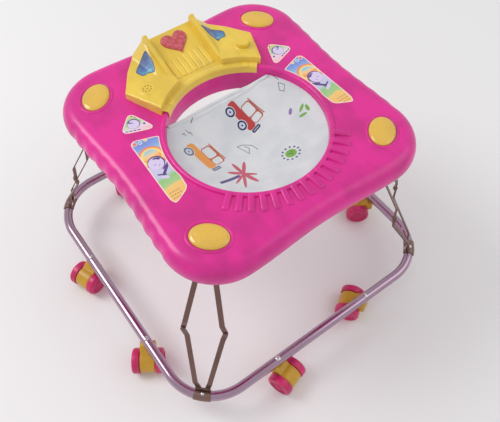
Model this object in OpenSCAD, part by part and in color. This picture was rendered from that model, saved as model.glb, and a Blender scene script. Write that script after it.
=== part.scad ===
// Baby walker: a square steel-tube base on eight twin-wheel castors, four pairs of folding
// knee strips, a moulded play tray with a toy console, and a cloth sling seat.
// +Z is up, +Y is the way the child faces, and the origin is on the floor under the base's centre.

/* [Base frame] */
// Distance between the centre lines of opposite base tubes
base_size = 580; // [540:5:680]
// Outside diameter of the base tube
tube_d = 19; // [16:0.5:22.5]
// Wall thickness of the base tube
tube_wall = 1.2; // [0.8:0.1:2]
// Bend radius of the base tube's corners, on its centre line
bend_r = 97; // [80:1:117]

/* [Castors] */
// Wheel diameter
wheel_d = 50; // [42:1:60]
// Width of one wheel
wheel_w = 15; // [12:0.5:18]
// Diameter of the hood's drum between the wheels
hood_d = 46; // [38:1:46]
// Width of the hood
hood_w = 30; // [25:1:36]
// Distance from the swivel axis back to the axle
trail = 24; // [20:1:29]
// Axle diameter
axle_d = 6; // [5:0.5:7]
// Swivel pin diameter
pin_d = 8; // [6.5:0.5:9.5]
// Distance between the two castors on one side
castor_pitch = 220; // [180:5:264]

/* [Leg strips] */
// Width of a leg strip
strip_w = 9; // [8:0.5:11]
// Thickness of a leg strip
strip_t = 2.5; // [2:0.1:3]
// Sideways offset of each pivot from the corner's centre line
pivot_offset = 8; // [7:0.5:10]
// How far each knee stands out sideways from its pivots
knee_out = 28; // [23:1:34]
// Diagonal step of one strip towards the middle of the walker
strip_step = 50; // [42:1:58]
// Diameter of the pivot pins
pivot_d = 5; // [4:0.5:6]
// Distance along the diagonal from the centre to the lower strips' outer faces
leg_reach = 362; // [355:1:363]

/* [Tray] */
// Width across the tray
tray_w = 474; // [420:2:500]
// Length of the tray, front to back
tray_l = 484; // [440:2:540]
// Depth of the tray's moulding
tray_h = 52; // [44:1:62]
// Height of the tray's deck above the floor
deck_z = 430; // [370:5:516]
// How far the tray's centre lies behind the base's centre
tray_back = 10; // [0:1:20]
// Corner radius of the tray in plan
tray_r = 92; // [80:1:110]
// How far each side of the tray draws in at its middle
side_sag = 7; // [0:0.5:9]
// Wall thickness of the moulding
tray_wall = 3; // [2:0.1:3.6]
// Diameter of the seat hole
hole_d = 268; // [240:2:290]
// How far the seat hole's centre lies behind the base's centre
hole_back = 42; // [30:1:50]
// Depth of the flutes along the tray's left and right sides
flute = 1.6; // [0:0.1:2.5]

/* [Corner caps and stickers] */
// Long axis of a corner cap
cap_l = 63; // [54:1:72]
// Short axis of a corner cap
cap_w = 46; // [38:1:54]
// Crown height of a corner cap
cap_h = 5; // [3:0.5:7]
// Distance of each cap's centre from the tray's centre, along each axis
cap_place = 170; // [164:1:176]
// Sticker thickness
sticker_t = 0.4; // [0.2:0.1:0.6]

/* [Console] */
// Height of the console's fins above the deck
fin_h = 48; // [40:1:58]
// Thickness of a fin
fin_t = 8; // [6:0.5:10]
// Distance from the console's middle to a fin's centre
fin_x = 48; // [44:1:52]
// Wall thickness of the console's shell
shell_wall = 2.4; // [1.8:0.1:3]
// Push button diameter
button_d = 22; // [18:0.5:24]
// How far the push button stands above its wing
button_h = 11; // [8:0.5:13]
// How far the push button travels
button_travel = 2.5; // [1.5:0.1:3]
// Number of moulded steps between the fins
steps = 7; // [5:1:9]

/* [Seat] */
// Thickness of the seat cloth
cloth_t = 1.6; // [1:0.1:2.4]
// How far the seat cloth sags at its middle
seat_sag = 46; // [30:1:55]
// Distance of the cloth's straight front edge ahead of the hole's centre
hem_y = 84; // [70:1:95]
// How far the cloth's rim lies below the deck
seat_drop = 10; // [6:1:16]

/* [Hidden] */
$fn = 48;
run_gap = 0.05;        // radial clearance of a pin or axle that turns
press_gap = 0.02;      // radial clearance between an axle and the wheels pressed on it
seat_gap = 0.3;        // clearance between faces that slide or pass each other
cap_gap = 0.3;         // clearance of a cap in its pocket

tube_r = tube_d / 2;
wheel_r = wheel_d / 2;
hood_r = hood_d / 2;
axle_r = axle_d / 2;
pin_r = pin_d / 2;
pivot_r = pivot_d / 2;
half = base_size / 2;

// Castor heights
boss_h = 8;            // boss above the hood's drum
washer_t = 2.5;        // washer between a hood and the tube
boss_r = pin_r + 5;
flange_r = pin_r + 2;  // keeper at the pin's lower end
flange_t = 2;
pin_depth = 22;        // how far the pin reaches into the hood
hood_top = wheel_r + hood_r + boss_h;
tube_z = hood_top + washer_t + tube_r;
rivet_r = 5;
rivet_h = 1.8;
rivet_seat = 0.6;      // metal between a rivet's dome and the tube's crown

// Each castor: side (0 right, 1 front, 2 left, 3 rear), place along the side, swivel angle
CASTORS = [
    [0, -1, 143], [0, 1, 340], [1, 1, 73], [1, -1, 248],
    [2, 1, 200], [2, -1, 235], [3, -1, 287], [3, 1, 122]
];

// Leg geometry. In a corner's own frame X points outwards along the diagonal and Y sideways.
CORNERS = [45, 135, 225, 315];
ear_t = 2.5;
strip_end = strip_w / 2;
strip_tab = 26;        // straight tab at each end of a strip
bracket_z = tube_z + tube_r + 6.5;
tray_bottom = deck_z - tray_h;
flange_plate = 2.5;
top_z = tray_bottom - flange_plate - 8;
leg_rise = (top_z - bracket_z) / 2;
strip_len = sqrt(leg_rise * leg_rise + knee_out * knee_out);
strip_angle = atan2(knee_out, leg_rise);
upper_reach = leg_reach - strip_step - strip_t - seat_gap;
top_reach = upper_reach - strip_step;
corner_reach = (half - bend_r) * sqrt(2) + bend_r;
pin_head_r = pivot_r + 1.5;
pin_head_t = 1.6;

// Tray outline: corner arcs and four drawn-in sides
corner_steps = 7;
long_steps = 44;       // points along a fluted side
short_steps = 12;
flute_pitch = 30;
hole_r = hole_d / 2;
hole_c = [0, -hole_back];
lip_h = 4;             // raised lip round the hole
lip_w = 8.5;

function side_pull(t) = side_sag * (1 - cos(360 * t)) / 2;
function flute_pull(t, len) = flute * (1 - cos(360 * t * round(len / flute_pitch))) / 2;
// A point on the outline, drawn in by o: side s from its start (t = 0) to its end (t = 1)
function side_point(s, t, o, f) =
    let (w = (s % 2 == 0 ? tray_w : tray_l) / 2 - o,
         run = (s % 2 == 0 ? tray_l : tray_w) - 2 * tray_r,
         pull = side_pull(t) + (s % 2 == 0 ? f * flute_pull(t, run) : 0),
         x = w - pull,
         y = (t - 0.5) * run)
    [x * cos(90 * s) - y * sin(90 * s), x * sin(90 * s) + y * cos(90 * s) - tray_back];
function corner_point(s, t, o) =
    let (cx = (s % 2 == 0 ? tray_w : tray_l) / 2 - tray_r,
         cy = (s % 2 == 0 ? tray_l : tray_w) / 2 - tray_r,
         a = 90 * t,
         x = cx + (tray_r - o) * cos(a),
         y = cy + (tray_r - o) * sin(a))
    [x * cos(90 * s) - y * sin(90 * s), x * sin(90 * s) + y * cos(90 * s) - tray_back];
function side_steps(s) = s % 2 == 0 ? long_steps : short_steps;
function outline(o, f) = [
    for (s = [0:3]) each concat(
        [for (i = [0:side_steps(s) - 1]) side_point(s, i / side_steps(s), o, f)],
        [for (i = [0:corner_steps - 1]) corner_point(s, i / corner_steps, o)])
];
// The point of the hole's edge, let out by o, that faces an outline point
function hole_point(p, o) =
    let (v = p - hole_c, a = atan2(v[1], v[0]))
    hole_c + (hole_r + o) * [cos(a), sin(a)];
// One ring of the moulding: side 0 follows the outline, side 1 follows the hole
function tray_ring(st) =
    let (o = outline(st[1], st[3]), far = outline(0, 0))
    [for (i = [0:len(o) - 1])
        let (p = st[0] == 0 ? o[i] : hole_point(far[i], st[1])) [p[0], p[1], st[2]]];
edge_r = tray_h / 2 - 2;
SKIN = concat(
    [[1, 7, tray_bottom, 0], [0, 44, tray_bottom, 0]],
    [for (a = [-80, -62, -42, -20]) [0, edge_r * (1 - cos(a)), deck_z - tray_h / 2 + tray_h / 2 * sin(a),
        a > -50 ? 1 : 0]],
    [[0, 0, deck_z - tray_h / 2, 1]],
    [for (a = [20, 42, 62, 80]) [0, edge_r * (1 - cos(a)), deck_z - tray_h / 2 + tray_h / 2 * sin(a),
        a < 50 ? 1 : 0]],
    [[0, 32, deck_z, 0], [1, lip_w, deck_z, 0], [1, 0.9 * lip_w, deck_z + lip_h - 1.2, 0],
     [1, 0.68 * lip_w, deck_z + lip_h, 0], [1, 0.32 * lip_w, deck_z + lip_h - 0.3, 0],
     [1, 0.08 * lip_w, deck_z + lip_h - 2, 0], [1, 0, deck_z - 2, 0],
     [1, 0, tray_bottom + 7, 0], [1, 2, tray_bottom + 2, 0]]);
CAVITY = concat(
    [[1, 7 + tray_wall, tray_bottom + tray_wall, 0], [0, 44, tray_bottom + tray_wall, 0]],
    [for (a = [-66, -30, 0, 30, 66]) [0, tray_wall + flute * (abs(a) < 50 ? 1 : 0) + (edge_r - tray_wall)
        * (1 - cos(a)), deck_z - tray_h / 2 + (tray_h / 2 - tray_wall) * sin(a), 0]],
    [[0, 34, deck_z - tray_wall, 0], [1, lip_w - 2, deck_z - tray_wall, 0], [1, tray_wall, deck_z - tray_wall - 1, 0],
     [1, tray_wall, tray_bottom + 7, 0]]);

// Stations joined into a closed tube
module ring_solid(stations) {
    rings = [for (st = stations) tray_ring(st)];
    n = len(rings[0]);
    m = len(rings);
    points = [for (r = rings) each r];
    faces = [for (j = [0:m - 1]) for (i = [0:n - 1]) each
        let (a = j * n + i, b = j * n + (i + 1) % n, c = ((j + 1) % m) * n + (i + 1) % n,
             d = ((j + 1) % m) * n + i)
        [[a, c, b], [a, d, c]]];
    polyhedron(points, faces, convexity = 8);
}

// Console plan: outer wing corners, then the concave front that follows the seat ring
ring_r = hole_r + lip_w + 0.5;
wing_back = 199;
WING = [[76, wing_back - 2], [102, 169], [130, 127], [103, 63]];
front_a0 = atan2(63 + hole_back, 103);
front_steps = 6;
front_run = [for (i = [1:front_steps])
    let (a = front_a0 + (90 - front_a0) * i / front_steps) hole_c + ring_r * [cos(a), sin(a)]];
front_half = [for (i = [0:front_steps - 2]) front_run[i]];
function flip(pts) = [for (i = [len(pts) - 1:-1:0]) [-pts[i][0], pts[i][1]]];
console_half = concat([[fin_x, wing_back]], WING, front_half);
console_plan = concat(console_half, [[0, ring_r - hole_back]], flip(console_half));
bay_x = fin_x - fin_t / 2;
wing_h = 16;           // height of a wing's lower facet
step_w = 2 * (bay_x - 5) / steps;
step_y0 = 108;
step_y1 = 146;
bay_h0 = 8;            // centre bay height at its front
bay_h1 = 16;           // centre bay height at the back of the steps
button_at = [96, 104];
speaker_at = [-96, 112];
grille_r = 1.3;
lens_c = [0, 168];
lens_tilt = 17;
lens_z = bay_h1 + (lens_c[1] - step_y1) * tan(lens_tilt);
box_half = [33, 27];
box_c = [0, 150];
box_h = 20;
cell_d = 14.5;
cell_l = 50.5;
cells = 3;
boss_at = [[90, 140], [66, 114]];
boss_bore = 8;         // how far a screw reaches into the console
hook_a = 56;           // direction of the small hook over the seat ring's lip
screw_r = 1.5;

STRIPS = [for (c = [0:3]) for (s = [0:1]) [c, s]];

// ---------------------------------------------------------------- base frame
module tube_ring(r) {
    run = base_size - 2 * bend_r;
    for (s = [0:3]) rotate([0, 0, 90 * s]) {
        translate([half, 0, 0]) rotate([90, 0, 0]) cylinder(r = r, h = run, center = true);
        translate([half - bend_r, half - bend_r, 0])
            rotate_extrude(angle = 90) translate([bend_r, 0]) circle(r = r);
    }
}

module castor_places() {
    for (c = CASTORS) castor_place(c) children();
}

function castor_xy(c) =
    let (a = 90 * c[0], y = (c[0] == 1 || c[0] == 2 ? -1 : 1) * c[1] * castor_pitch / 2)
    [half * cos(a) - y * sin(a), half * sin(a) + y * cos(a)];

module castor_place(c) {
    p = castor_xy(c);
    translate([p[0], p[1], 0]) children();
}

module base_tube() {
    color("silver") difference() {
        translate([0, 0, tube_z]) difference() {
            tube_ring(tube_r);
            tube_ring(tube_r - tube_wall);
        }
        castor_places() translate([0, 0, tube_z - tube_d]) cylinder(r = pin_r, h = 2 * tube_d);
        for (a = CORNERS) rotate([0, 0, a]) translate([corner_reach, 0, tube_z - tube_d])
            cylinder(r = pivot_r, h = 2 * tube_d);
    }
}

module corner_arc(r, spread) {
    translate([corner_reach - bend_r, 0, 0]) rotate([0, 0, -spread])
        rotate_extrude(angle = 2 * spread) translate([bend_r, 0]) circle(r = r);
}

module corner_brackets() {
    saddle = 9;
    color("dimgray") for (a = CORNERS) rotate([0, 0, a]) difference() {
        union() {
            translate([0, 0, tube_z]) intersection() {
                corner_arc(tube_r + 2, saddle);
                translate([leg_reach - 20, -40, 2]) cube([40, 80, 20]);
            }
            translate([leg_reach + seat_gap, -pivot_offset - 6, tube_z + 4])
                cube([ear_t, 2 * pivot_offset + 12, bracket_z - tube_z + 2]);
        }
        translate([0, 0, tube_z]) corner_arc(tube_r, 2 * saddle);
        translate([corner_reach, 0, tube_z]) cylinder(r = pivot_r, h = 30);
        for (s = [-1, 1]) translate([leg_reach - 1, s * pivot_offset, bracket_z])
            rotate([0, 90, 0]) cylinder(r = pivot_r, h = 10);
    }
}

module corner_bolts() {
    color("gainsboro") for (a = CORNERS) rotate([0, 0, a]) translate([corner_reach, 0, tube_z]) {
        translate([0, 0, -tube_r - 2]) cylinder(r = pivot_r, h = tube_d + 4);
        translate([0, 0, tube_r + 2]) dome(pivot_r + 1.2, rivet_h);
        translate([0, 0, -tube_r - 4]) cylinder(r = pivot_r + 1.5, h = 4, $fn = 6);
    }
}

// A round-headed cap of radius r and height h, standing on the plane z = 0
module dome(r, h) {
    big = (r * r + h * h) / (2 * h);
    intersection() {
        translate([0, 0, h - big]) sphere(r = big);
        cylinder(r = r, h = h);
    }
}

module base_pivot_pins() {
    shank = strip_t + 2 * seat_gap + ear_t;
    color("gainsboro") for (a = CORNERS) rotate([0, 0, a]) for (s = [-1, 1])
        translate([leg_reach + seat_gap + ear_t, s * pivot_offset, bracket_z]) rotate([0, -90, 0]) {
            cylinder(r = pivot_r, h = shank);
            translate([0, 0, shank]) dome(pin_head_r, pin_head_t);
        }
}

// ---------------------------------------------------------------- castors
module castor_pins() {
    color("gainsboro") for (c = CASTORS) castor_place(c) {
        translate([0, 0, hood_top - pin_depth]) cylinder(r = flange_r, h = flange_t);
        translate([0, 0, hood_top - pin_depth]) cylinder(r = pin_r, h = tube_z + tube_r - hood_top + pin_depth);
        difference() {
            union() {
                translate([0, 0, hood_top + seat_gap]) cylinder(r = boss_r, h = tube_z - hood_top);
                translate([0, 0, tube_z]) cylinder(r = rivet_r, h = tube_r + rivet_seat);
            }
            translate([0, 0, tube_z]) rotate([90, 0, 90 * c[0]]) cylinder(r = tube_r, h = 4 * boss_r, center = true);
        }
        translate([0, 0, tube_z + tube_r + rivet_seat]) dome(rivet_r, rivet_h);
    }
}

module castor_hood(i) {
    c = CASTORS[i];
    neck = hood_top - wheel_r;
    color("gold") castor_place(c) rotate([0, 0, c[2]]) difference() {
        union() {
            translate([trail, 0, wheel_r]) rotate([90, 0, 0]) cylinder(r = hood_r, h = hood_w, center = true);
            translate([0, 0, hood_top - neck + 6]) cylinder(r = boss_r + 1, h = neck - 6);
            rotate([90, 0, 0]) linear_extrude(hood_w, center = true) polygon([
                [-boss_r + 1, wheel_r + 9], [-boss_r + 1, hood_top - 6], [-boss_r + 3, hood_top - 2.5],
                [-boss_r + 7, hood_top - 1], [boss_r - 4, hood_top - 1], [trail - 6, wheel_r + hood_r - 0.8],
                [trail, wheel_r + hood_r - 3], [trail, wheel_r], [5, wheel_r + 2]]);
        }
        translate([0, 0, hood_top - pin_depth]) cylinder(r = pin_r + run_gap, h = pin_depth + 1);
        translate([0, 0, hood_top - pin_depth - seat_gap])
            cylinder(r = flange_r + seat_gap, h = flange_t + 2 * seat_gap);
        translate([trail, 0, wheel_r]) rotate([90, 0, 0])
            cylinder(r = axle_r + run_gap, h = 2 * hood_w, center = true);
    }
}

module wheel() {
    rim = 5;               // rounding of the tread's outer edge
    lip = 1.5;             // rounding of its inner edge
    dish = 3;
    bore = axle_r + press_gap;
    hub = axle_r + 4;
    rotate_extrude() difference() {
        union() {
            translate([bore, 0]) square([wheel_r - rim - bore, wheel_w]);
            translate([bore, lip]) square([wheel_r - bore, wheel_w - rim - lip]);
            translate([bore, 0]) square([wheel_r - lip - bore, wheel_w - rim]);
            translate([wheel_r - lip, lip]) circle(r = lip);
            translate([wheel_r - rim, wheel_w - rim]) circle(r = rim);
        }
        translate([hub, wheel_w - dish]) square([wheel_r - rim - 2 - hub, dish + 1]);
    }
}

module castor_wheels(i) {
    c = CASTORS[i];
    inner = hood_w / 2 + 0.6;
    color("deeppink") castor_place(c) rotate([0, 0, c[2]]) translate([trail, 0, wheel_r]) {
        for (s = [0, 1]) mirror([0, s, 0]) rotate([-90, 0, 0]) translate([0, 0, inner]) wheel();
        rotate([90, 0, 0]) cylinder(r = axle_r, h = 2 * (inner + wheel_w), center = true);
    }
}

// ---------------------------------------------------------------- leg strips
// A flat bar from the pivot at the origin up to (-strip_step, 0, strip_len), turning about X
module bent_strip(lower_hole, upper_hole) {
    t = strip_t;
    difference() {
        intersection() {
            rotate([90, 0, 0]) linear_extrude(strip_w, center = true) polygon([
                [0, -strip_end], [0, strip_tab], [-strip_step, strip_len - strip_tab],
                [-strip_step, strip_len + strip_end], [-strip_step - t, strip_len + strip_end],
                [-strip_step - t, strip_len - strip_tab], [-t, strip_tab], [-t, -strip_end]]);
            translate([-strip_step - t - 1, 0, 0]) union() {
                rotate([0, 90, 0]) cylinder(r = strip_end, h = strip_step + t + 2);
                translate([0, 0, strip_len]) rotate([0, 90, 0]) cylinder(r = strip_end, h = strip_step + t + 2);
                translate([0, -strip_end, 0]) cube([strip_step + t + 2, strip_w, strip_len]);
            }
        }
        translate([-t - 1, 0, 0]) rotate([0, 90, 0]) cylinder(r = lower_hole, h = t + 2);
        translate([-strip_step - t - 1, 0, strip_len]) rotate([0, 90, 0]) cylinder(r = upper_hole, h = t + 2);
    }
}

module lower_strip(c, s) {
    side = s == 0 ? 1 : -1;
    shank = 2 * strip_t + 2 * seat_gap;
    color("darkgray") rotate([0, 0, CORNERS[c]]) translate([leg_reach, side * pivot_offset, bracket_z])
        rotate([-side * strip_angle, 0, 0]) {
            bent_strip(pivot_r + run_gap, pivot_r);
            translate([-strip_step, 0, strip_len]) {
                rotate([0, -90, 0]) cylinder(r = pivot_r, h = shank);
                rotate([0, 90, 0]) dome(pin_head_r, pin_head_t);
                translate([-shank, 0, 0]) rotate([0, -90, 0]) dome(pin_head_r, pin_head_t);
            }
        }
}

module upper_strip(c, s) {
    side = s == 0 ? 1 : -1;
    color("darkgray") rotate([0, 0, CORNERS[c]])
        translate([upper_reach, side * (pivot_offset + knee_out), bracket_z + leg_rise])
            rotate([side * strip_angle, 0, 0]) bent_strip(pivot_r + run_gap, pivot_r + run_gap);
}

// ---------------------------------------------------------------- tray
ear_x = top_reach - strip_t - seat_gap - ear_t;
flange_w = 2 * pivot_offset + 24;
flange_l = 26;

module tray_brackets() {
    color("silver") for (a = CORNERS) rotate([0, 0, a]) difference() {
        union() {
            translate([ear_x + ear_t - flange_l, -flange_w / 2, tray_bottom - flange_plate])
                cube([flange_l, flange_w, flange_plate]);
            translate([ear_x, -pivot_offset - 7, top_z - 6])
                cube([ear_t, 2 * pivot_offset + 14, tray_bottom - top_z + 6 - flange_plate / 2]);
        }
        for (s = [-1, 1]) {
            translate([ear_x - 1, s * pivot_offset, top_z]) rotate([0, 90, 0]) cylinder(r = pivot_r, h = 10);
            translate([ear_x - flange_l / 2, s * (flange_w / 2 - 7), tray_bottom - 10])
                cylinder(r = screw_r, h = 20);
        }
    }
}

module tray_screw_holes() {
    for (a = CORNERS) rotate([0, 0, a]) for (s = [-1, 1])
        translate([ear_x - flange_l / 2, s * (flange_w / 2 - 7), tray_bottom - 10])
            cylinder(r = screw_r, h = 20, $fn = 24);
}

module bracket_screws() {
    color("gainsboro") for (a = CORNERS) rotate([0, 0, a]) for (s = [-1, 1])
        translate([ear_x - flange_l / 2, s * (flange_w / 2 - 7), tray_bottom - flange_plate])
            screw(flange_plate + tray_wall + 4);
}

// A screw pointing up, its head below the plane z = 0
module screw(length) {
    cylinder(r = screw_r, h = length);
    mirror([0, 0, 1]) dome(2.2 * screw_r, 1.6);
}

module tray_pivot_pins() {
    shank = strip_t + 2 * seat_gap + ear_t;
    color("gainsboro") for (a = CORNERS) rotate([0, 0, a]) for (s = [-1, 1])
        translate([ear_x, s * pivot_offset, top_z]) rotate([0, 90, 0]) {
            cylinder(r = pivot_r, h = shank);
            translate([0, 0, shank]) dome(pin_head_r, pin_head_t);
        }
}

function ellipse(a, b, n) = [for (i = [0:n - 1]) [a * cos(360 * i / n), b * sin(360 * i / n)]];
cap_sides = 40;
cap_sunk = 1.2;

module cap_places() {
    for (a = CORNERS) translate([0, -tray_back, deck_z])
        rotate([0, 0, a]) translate([cap_place * sqrt(2), 0, 0]) rotate([0, 0, 90]) children();
}

module corner_caps() {
    rings = [[0, -cap_sunk], [0, 0.8], [1.2, 2.2], [4, 3.4], [9, 4.4], [15, cap_h]];
    n = cap_sides;
    points = concat([for (r = rings) each
        [for (p = ellipse(cap_l / 2 - cap_gap - r[0], cap_w / 2 - cap_gap - r[0], n)) [p[0], p[1], r[1]]]],
        [[0, 0, cap_h + 0.3]]);
    m = len(rings);
    faces = concat([[for (i = [0:n - 1]) i]],
        [for (j = [0:m - 2]) for (i = [0:n - 1]) each
            let (a = j * n + i, b = j * n + (i + 1) % n) [[a, b + n, b], [a, a + n, b + n]]],
        [for (i = [0:n - 1]) [(m - 1) * n + i, m * n, (m - 1) * n + (i + 1) % n]]);
    color("gold") cap_places() polyhedron(points, faces);
}

module tray() {
    color("hotpink") difference() {
        ring_solid(SKIN);
        ring_solid(CAVITY);
        cap_places() translate([0, 0, -cap_sunk]) linear_extrude(10)
            polygon(ellipse(cap_l / 2, cap_w / 2, cap_sides));
        translate([box_c[0], box_c[1], deck_z])
            cube([2 * (box_half[0] + seat_gap), 2 * (box_half[1] + seat_gap), 30], center = true);
        translate([box_c[0], box_c[1], tray_bottom]) cube([2 * box_half[0], 2 * box_half[1], 30], center = true);
        tray_screw_holes();
        console_screw_places() translate([0, 0, -tray_h - 5]) cylinder(r = screw_r, h = tray_h + 10, $fn = 24);
        seat_stud_places() rotate([0, 90, 0]) cylinder(r = stud_r, h = 12, center = true, $fn = 24);
    }
}

// Stickers: a triangle beside the console and a long panel behind it, on each side
sticker_r = ring_r + 2;
STICKER_A = [[-143, 98], [-121, 42], [-178, 62]];
STICKER_B = concat([[-182, -106], [-178, -10], [-176, 42]],
    [for (a = [152:6:188]) hole_c + sticker_r * [cos(a), sin(a)]], [[-146, -88]]);

module side_stickers() {
    color("lavender") for (s = [0, 1]) mirror([s, 0, 0]) translate([0, 0, deck_z]) {
        linear_extrude(sticker_t) polygon(STICKER_A);
        linear_extrude(sticker_t) polygon(STICKER_B);
    }
}

// ---------------------------------------------------------------- seat
cloth_r = hole_r - seat_gap;
rim_z = deck_z - seat_drop;
hem_half = sqrt(cloth_r * cloth_r - hem_y * hem_y);
hem_a = atan2(hem_y, hem_half);
seat_rings = 10;
seat_arc = 44;         // points round the rim
seat_hem = 20;         // points along the straight front edge
// The cloth's edge: round the rim from one end of the hem to the other, then along the hem
seat_edge = concat(
    [for (i = [0:seat_arc]) let (a = 180 - hem_a + (180 + 2 * hem_a) * i / seat_arc)
        cloth_r * [cos(a), sin(a)]],
    [for (i = [1:seat_hem - 1]) let (t = i / seat_hem) [hem_half * (1 - 2 * t), hem_y]]);
seat_mid = [0, -14];
function cloth_z(p) =
    let (r = norm(p) / cloth_r, front = max(0, (p[1] + 20) / (hem_y + 20)), w = p[0] / hem_half)
    rim_z - seat_sag * (1 - min(1, r * r)) * (1 - 0.72 * front * front);
function cloth_ring(j, dz) = [for (e = seat_edge)
    let (p = seat_mid + (e - seat_mid) * j / seat_rings)
    [p[0] + hole_c[0], p[1] + hole_c[1], cloth_z(p) + dz]];

module seat_cloth() {
    n = len(seat_edge);
    m = seat_rings;
    layer = n * m + 1;
    top = concat([for (j = [m:-1:1]) each cloth_ring(j, 0)],
        [[seat_mid[0] + hole_c[0], seat_mid[1] + hole_c[1], cloth_z(seat_mid)]]);
    points = concat(top, [for (p = top) [p[0], p[1], p[2] - cloth_t]]);
    faces = concat(
        [for (j = [0:m - 2]) for (i = [0:n - 1]) each
            let (a = j * n + i, b = j * n + (i + 1) % n) [[a, b + n, b], [a, a + n, b + n]]],
        [for (i = [0:n - 1]) [(m - 1) * n + i, n * m, (m - 1) * n + (i + 1) % n]],
        [for (j = [0:m - 2]) for (i = [0:n - 1]) each
            let (a = layer + j * n + i, b = layer + j * n + (i + 1) % n) [[a, b, b + n], [a, b + n, a + n]]],
        [for (i = [0:n - 1]) [layer + (m - 1) * n + i, layer + (m - 1) * n + (i + 1) % n, layer + n * m]],
        [for (i = [0:n - 1]) each let (b = (i + 1) % n) [[i, b, layer + b], [i, layer + b, layer + i]]]);
    color("whitesmoke") polyhedron(points, faces, convexity = 6);
}

stud_r = 2;
stud_count = 9;
stud_head = 5;

module seat_stud_places() {
    for (i = [0:stud_count - 1])
        translate([hole_c[0], hole_c[1], rim_z - cloth_t - stud_head - 1])
            rotate([0, 0, 180 - 12 + (180 + 24) * i / (stud_count - 1)]) translate([hole_r, 0, 0]) children();
}

module seat_studs() {
    color("white") seat_stud_places() {
        translate([-1.5, 0, 0]) rotate([0, 90, 0]) cylinder(r = stud_r, h = 1.5 + tray_wall + 2, $fn = 24);
        translate([-1.5, 0, 0]) rotate([0, -90, 0]) dome(stud_head, 1.8);
    }
}

// ---------------------------------------------------------------- console
// Everything below a plane through the point p with the slopes sx and sy
module below(p, sx, sy) {
    a = atan(sy);
    b = -atan(sx * cos(a));
    translate(p) rotate([a, 0, 0]) rotate([0, b, 0]) translate([-300, -300, -200]) cube([600, 600, 200]);
}

module wing_mass(drop) {
    union() {
        below([100, 100, wing_h - drop], -0.05, -0.05);
        intersection() {
            below([fin_x, wing_back, 40 - drop], -0.86, 0.1);
            below([fin_x, wing_back, 40 - drop], 0, 0.32);
        }
    }
}

module half_plan(inset) {
    linear_extrude(80, center = true) intersection() {
        offset(delta = -inset) polygon(console_plan);
        translate([fin_x + (inset > 0 ? fin_t / 2 : 0), 0]) square([200, 300]);
    }
}

module wing(inset) {
    intersection() {
        half_plan(inset);
        wing_mass(inset);
        translate([0, 0, inset > 0 ? -20 : 0]) linear_extrude(100) square([200, 300]);
    }
}

module fin() {
    rotate([90, 0, 90]) translate([0, 0, fin_x - fin_t / 2]) linear_extrude(fin_t) polygon([
        [93, 0], [90, 12], [wing_back - 9, fin_h - 2], [wing_back - 6, fin_h], [wing_back - 3, fin_h - 2],
        [wing_back, fin_h - 7], [wing_back + 1, 0]]);
}

module bay_mass(drop) {
    intersection() {
        linear_extrude(70, center = true) intersection() {
            offset(delta = -drop) polygon(console_plan);
            translate([-bay_x - (drop > 0 ? 0 : 1), 0]) square([2 * bay_x + (drop > 0 ? 0 : 2), 300]);
        }
        union() {
            below([0, step_y0, bay_h0 - drop], 0, (bay_h1 - bay_h0) / (step_y1 - step_y0));
            below([0, lens_c[1], lens_z - drop], 0, tan(lens_tilt));
        }
        translate([-100, 0, drop > 0 ? -20 : 0]) cube([200, 300, 120]);
    }
}

module steps_bars() {
    slope = atan2(bay_h1 - bay_h0, step_y1 - step_y0);
    for (i = [0:steps - 1]) translate([(i - (steps - 1) / 2) * step_w, step_y0, bay_h0])
        rotate([slope, 0, 0]) translate([0, 0, -1]) {
            translate([-step_w * 0.36, 0, 0]) cube([step_w * 0.72, (step_y1 - step_y0) / cos(slope), 3]);
        }
}

module console_screw_places() {
    for (s = [0, 1]) mirror([s, 0, 0]) for (p = boss_at) translate([p[0], p[1], deck_z]) children();
}

module console_shell() {
    color("gold") difference() {
        translate([0, 0, deck_z]) union() {
            difference() {
                union() {
                    for (s = [0, 1]) mirror([s, 0, 0]) {
                        wing(0);
                        fin();
                    }
                    bay_mass(0);
                    steps_bars();
                }
                for (s = [0, 1]) mirror([s, 0, 0]) wing(shell_wall);
                bay_mass(shell_wall);
            }
            for (s = [0, 1]) mirror([s, 0, 0]) {
                for (p = boss_at) translate([p[0], p[1], 0]) cylinder(r = 4, h = wing_h - 1);
                translate([hole_c[0], hole_c[1], lip_h + seat_gap]) rotate([0, 0, hook_a])
                    translate([ring_r - 12, -6, 0]) cube([15, 12, 3]);
            }
            translate([button_at[0], button_at[1], 0]) ring_wall(button_d / 2 + seat_gap, shell_wall, wing_h - 1);
        }
        console_screw_places() translate([0, 0, -1]) cylinder(r = screw_r, h = boss_bore + 1.5);
        translate([button_at[0], button_at[1], deck_z + 2]) cylinder(r = button_d / 2 + seat_gap, h = 40);
        translate([speaker_at[0], speaker_at[1], deck_z + 5]) for (i = [0:8])
            rotate([0, 0, 45 * i]) translate([i == 8 ? 0 : 7, 0, 0]) cylinder(r = grille_r, h = 30);
        lens_place() translate([0, 0, -12]) linear_extrude(24) heart(lens_size + seat_gap);
    }
}

module ring_wall(r, wall, h) {
    difference() {
        cylinder(r = r + wall, h = h);
        translate([0, 0, -1]) cylinder(r = r, h = h + 2);
    }
}

lens_size = 21;
module lens_place() {
    translate([lens_c[0], lens_c[1], deck_z + lens_z]) rotate([lens_tilt, 0, 0]) children();
}

// A rounded heart, 2 r wide, with its point towards the child
module heart(r) {
    polygon([for (a = [0:10:350])
        r / 16 * [16 * pow(sin(a), 3), 13 * cos(a) - 5 * cos(2 * a) - 2 * cos(3 * a) - cos(4 * a) + 2]]);
}

module heart_lens() {
    color("tomato") lens_place() {
        translate([0, 0, -shell_wall]) linear_extrude(shell_wall + 1.6) heart(lens_size);
        translate([0, 0, 1.5]) linear_extrude(1.6, scale = 0.8) heart(lens_size - 0.6);
    }
}

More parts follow.
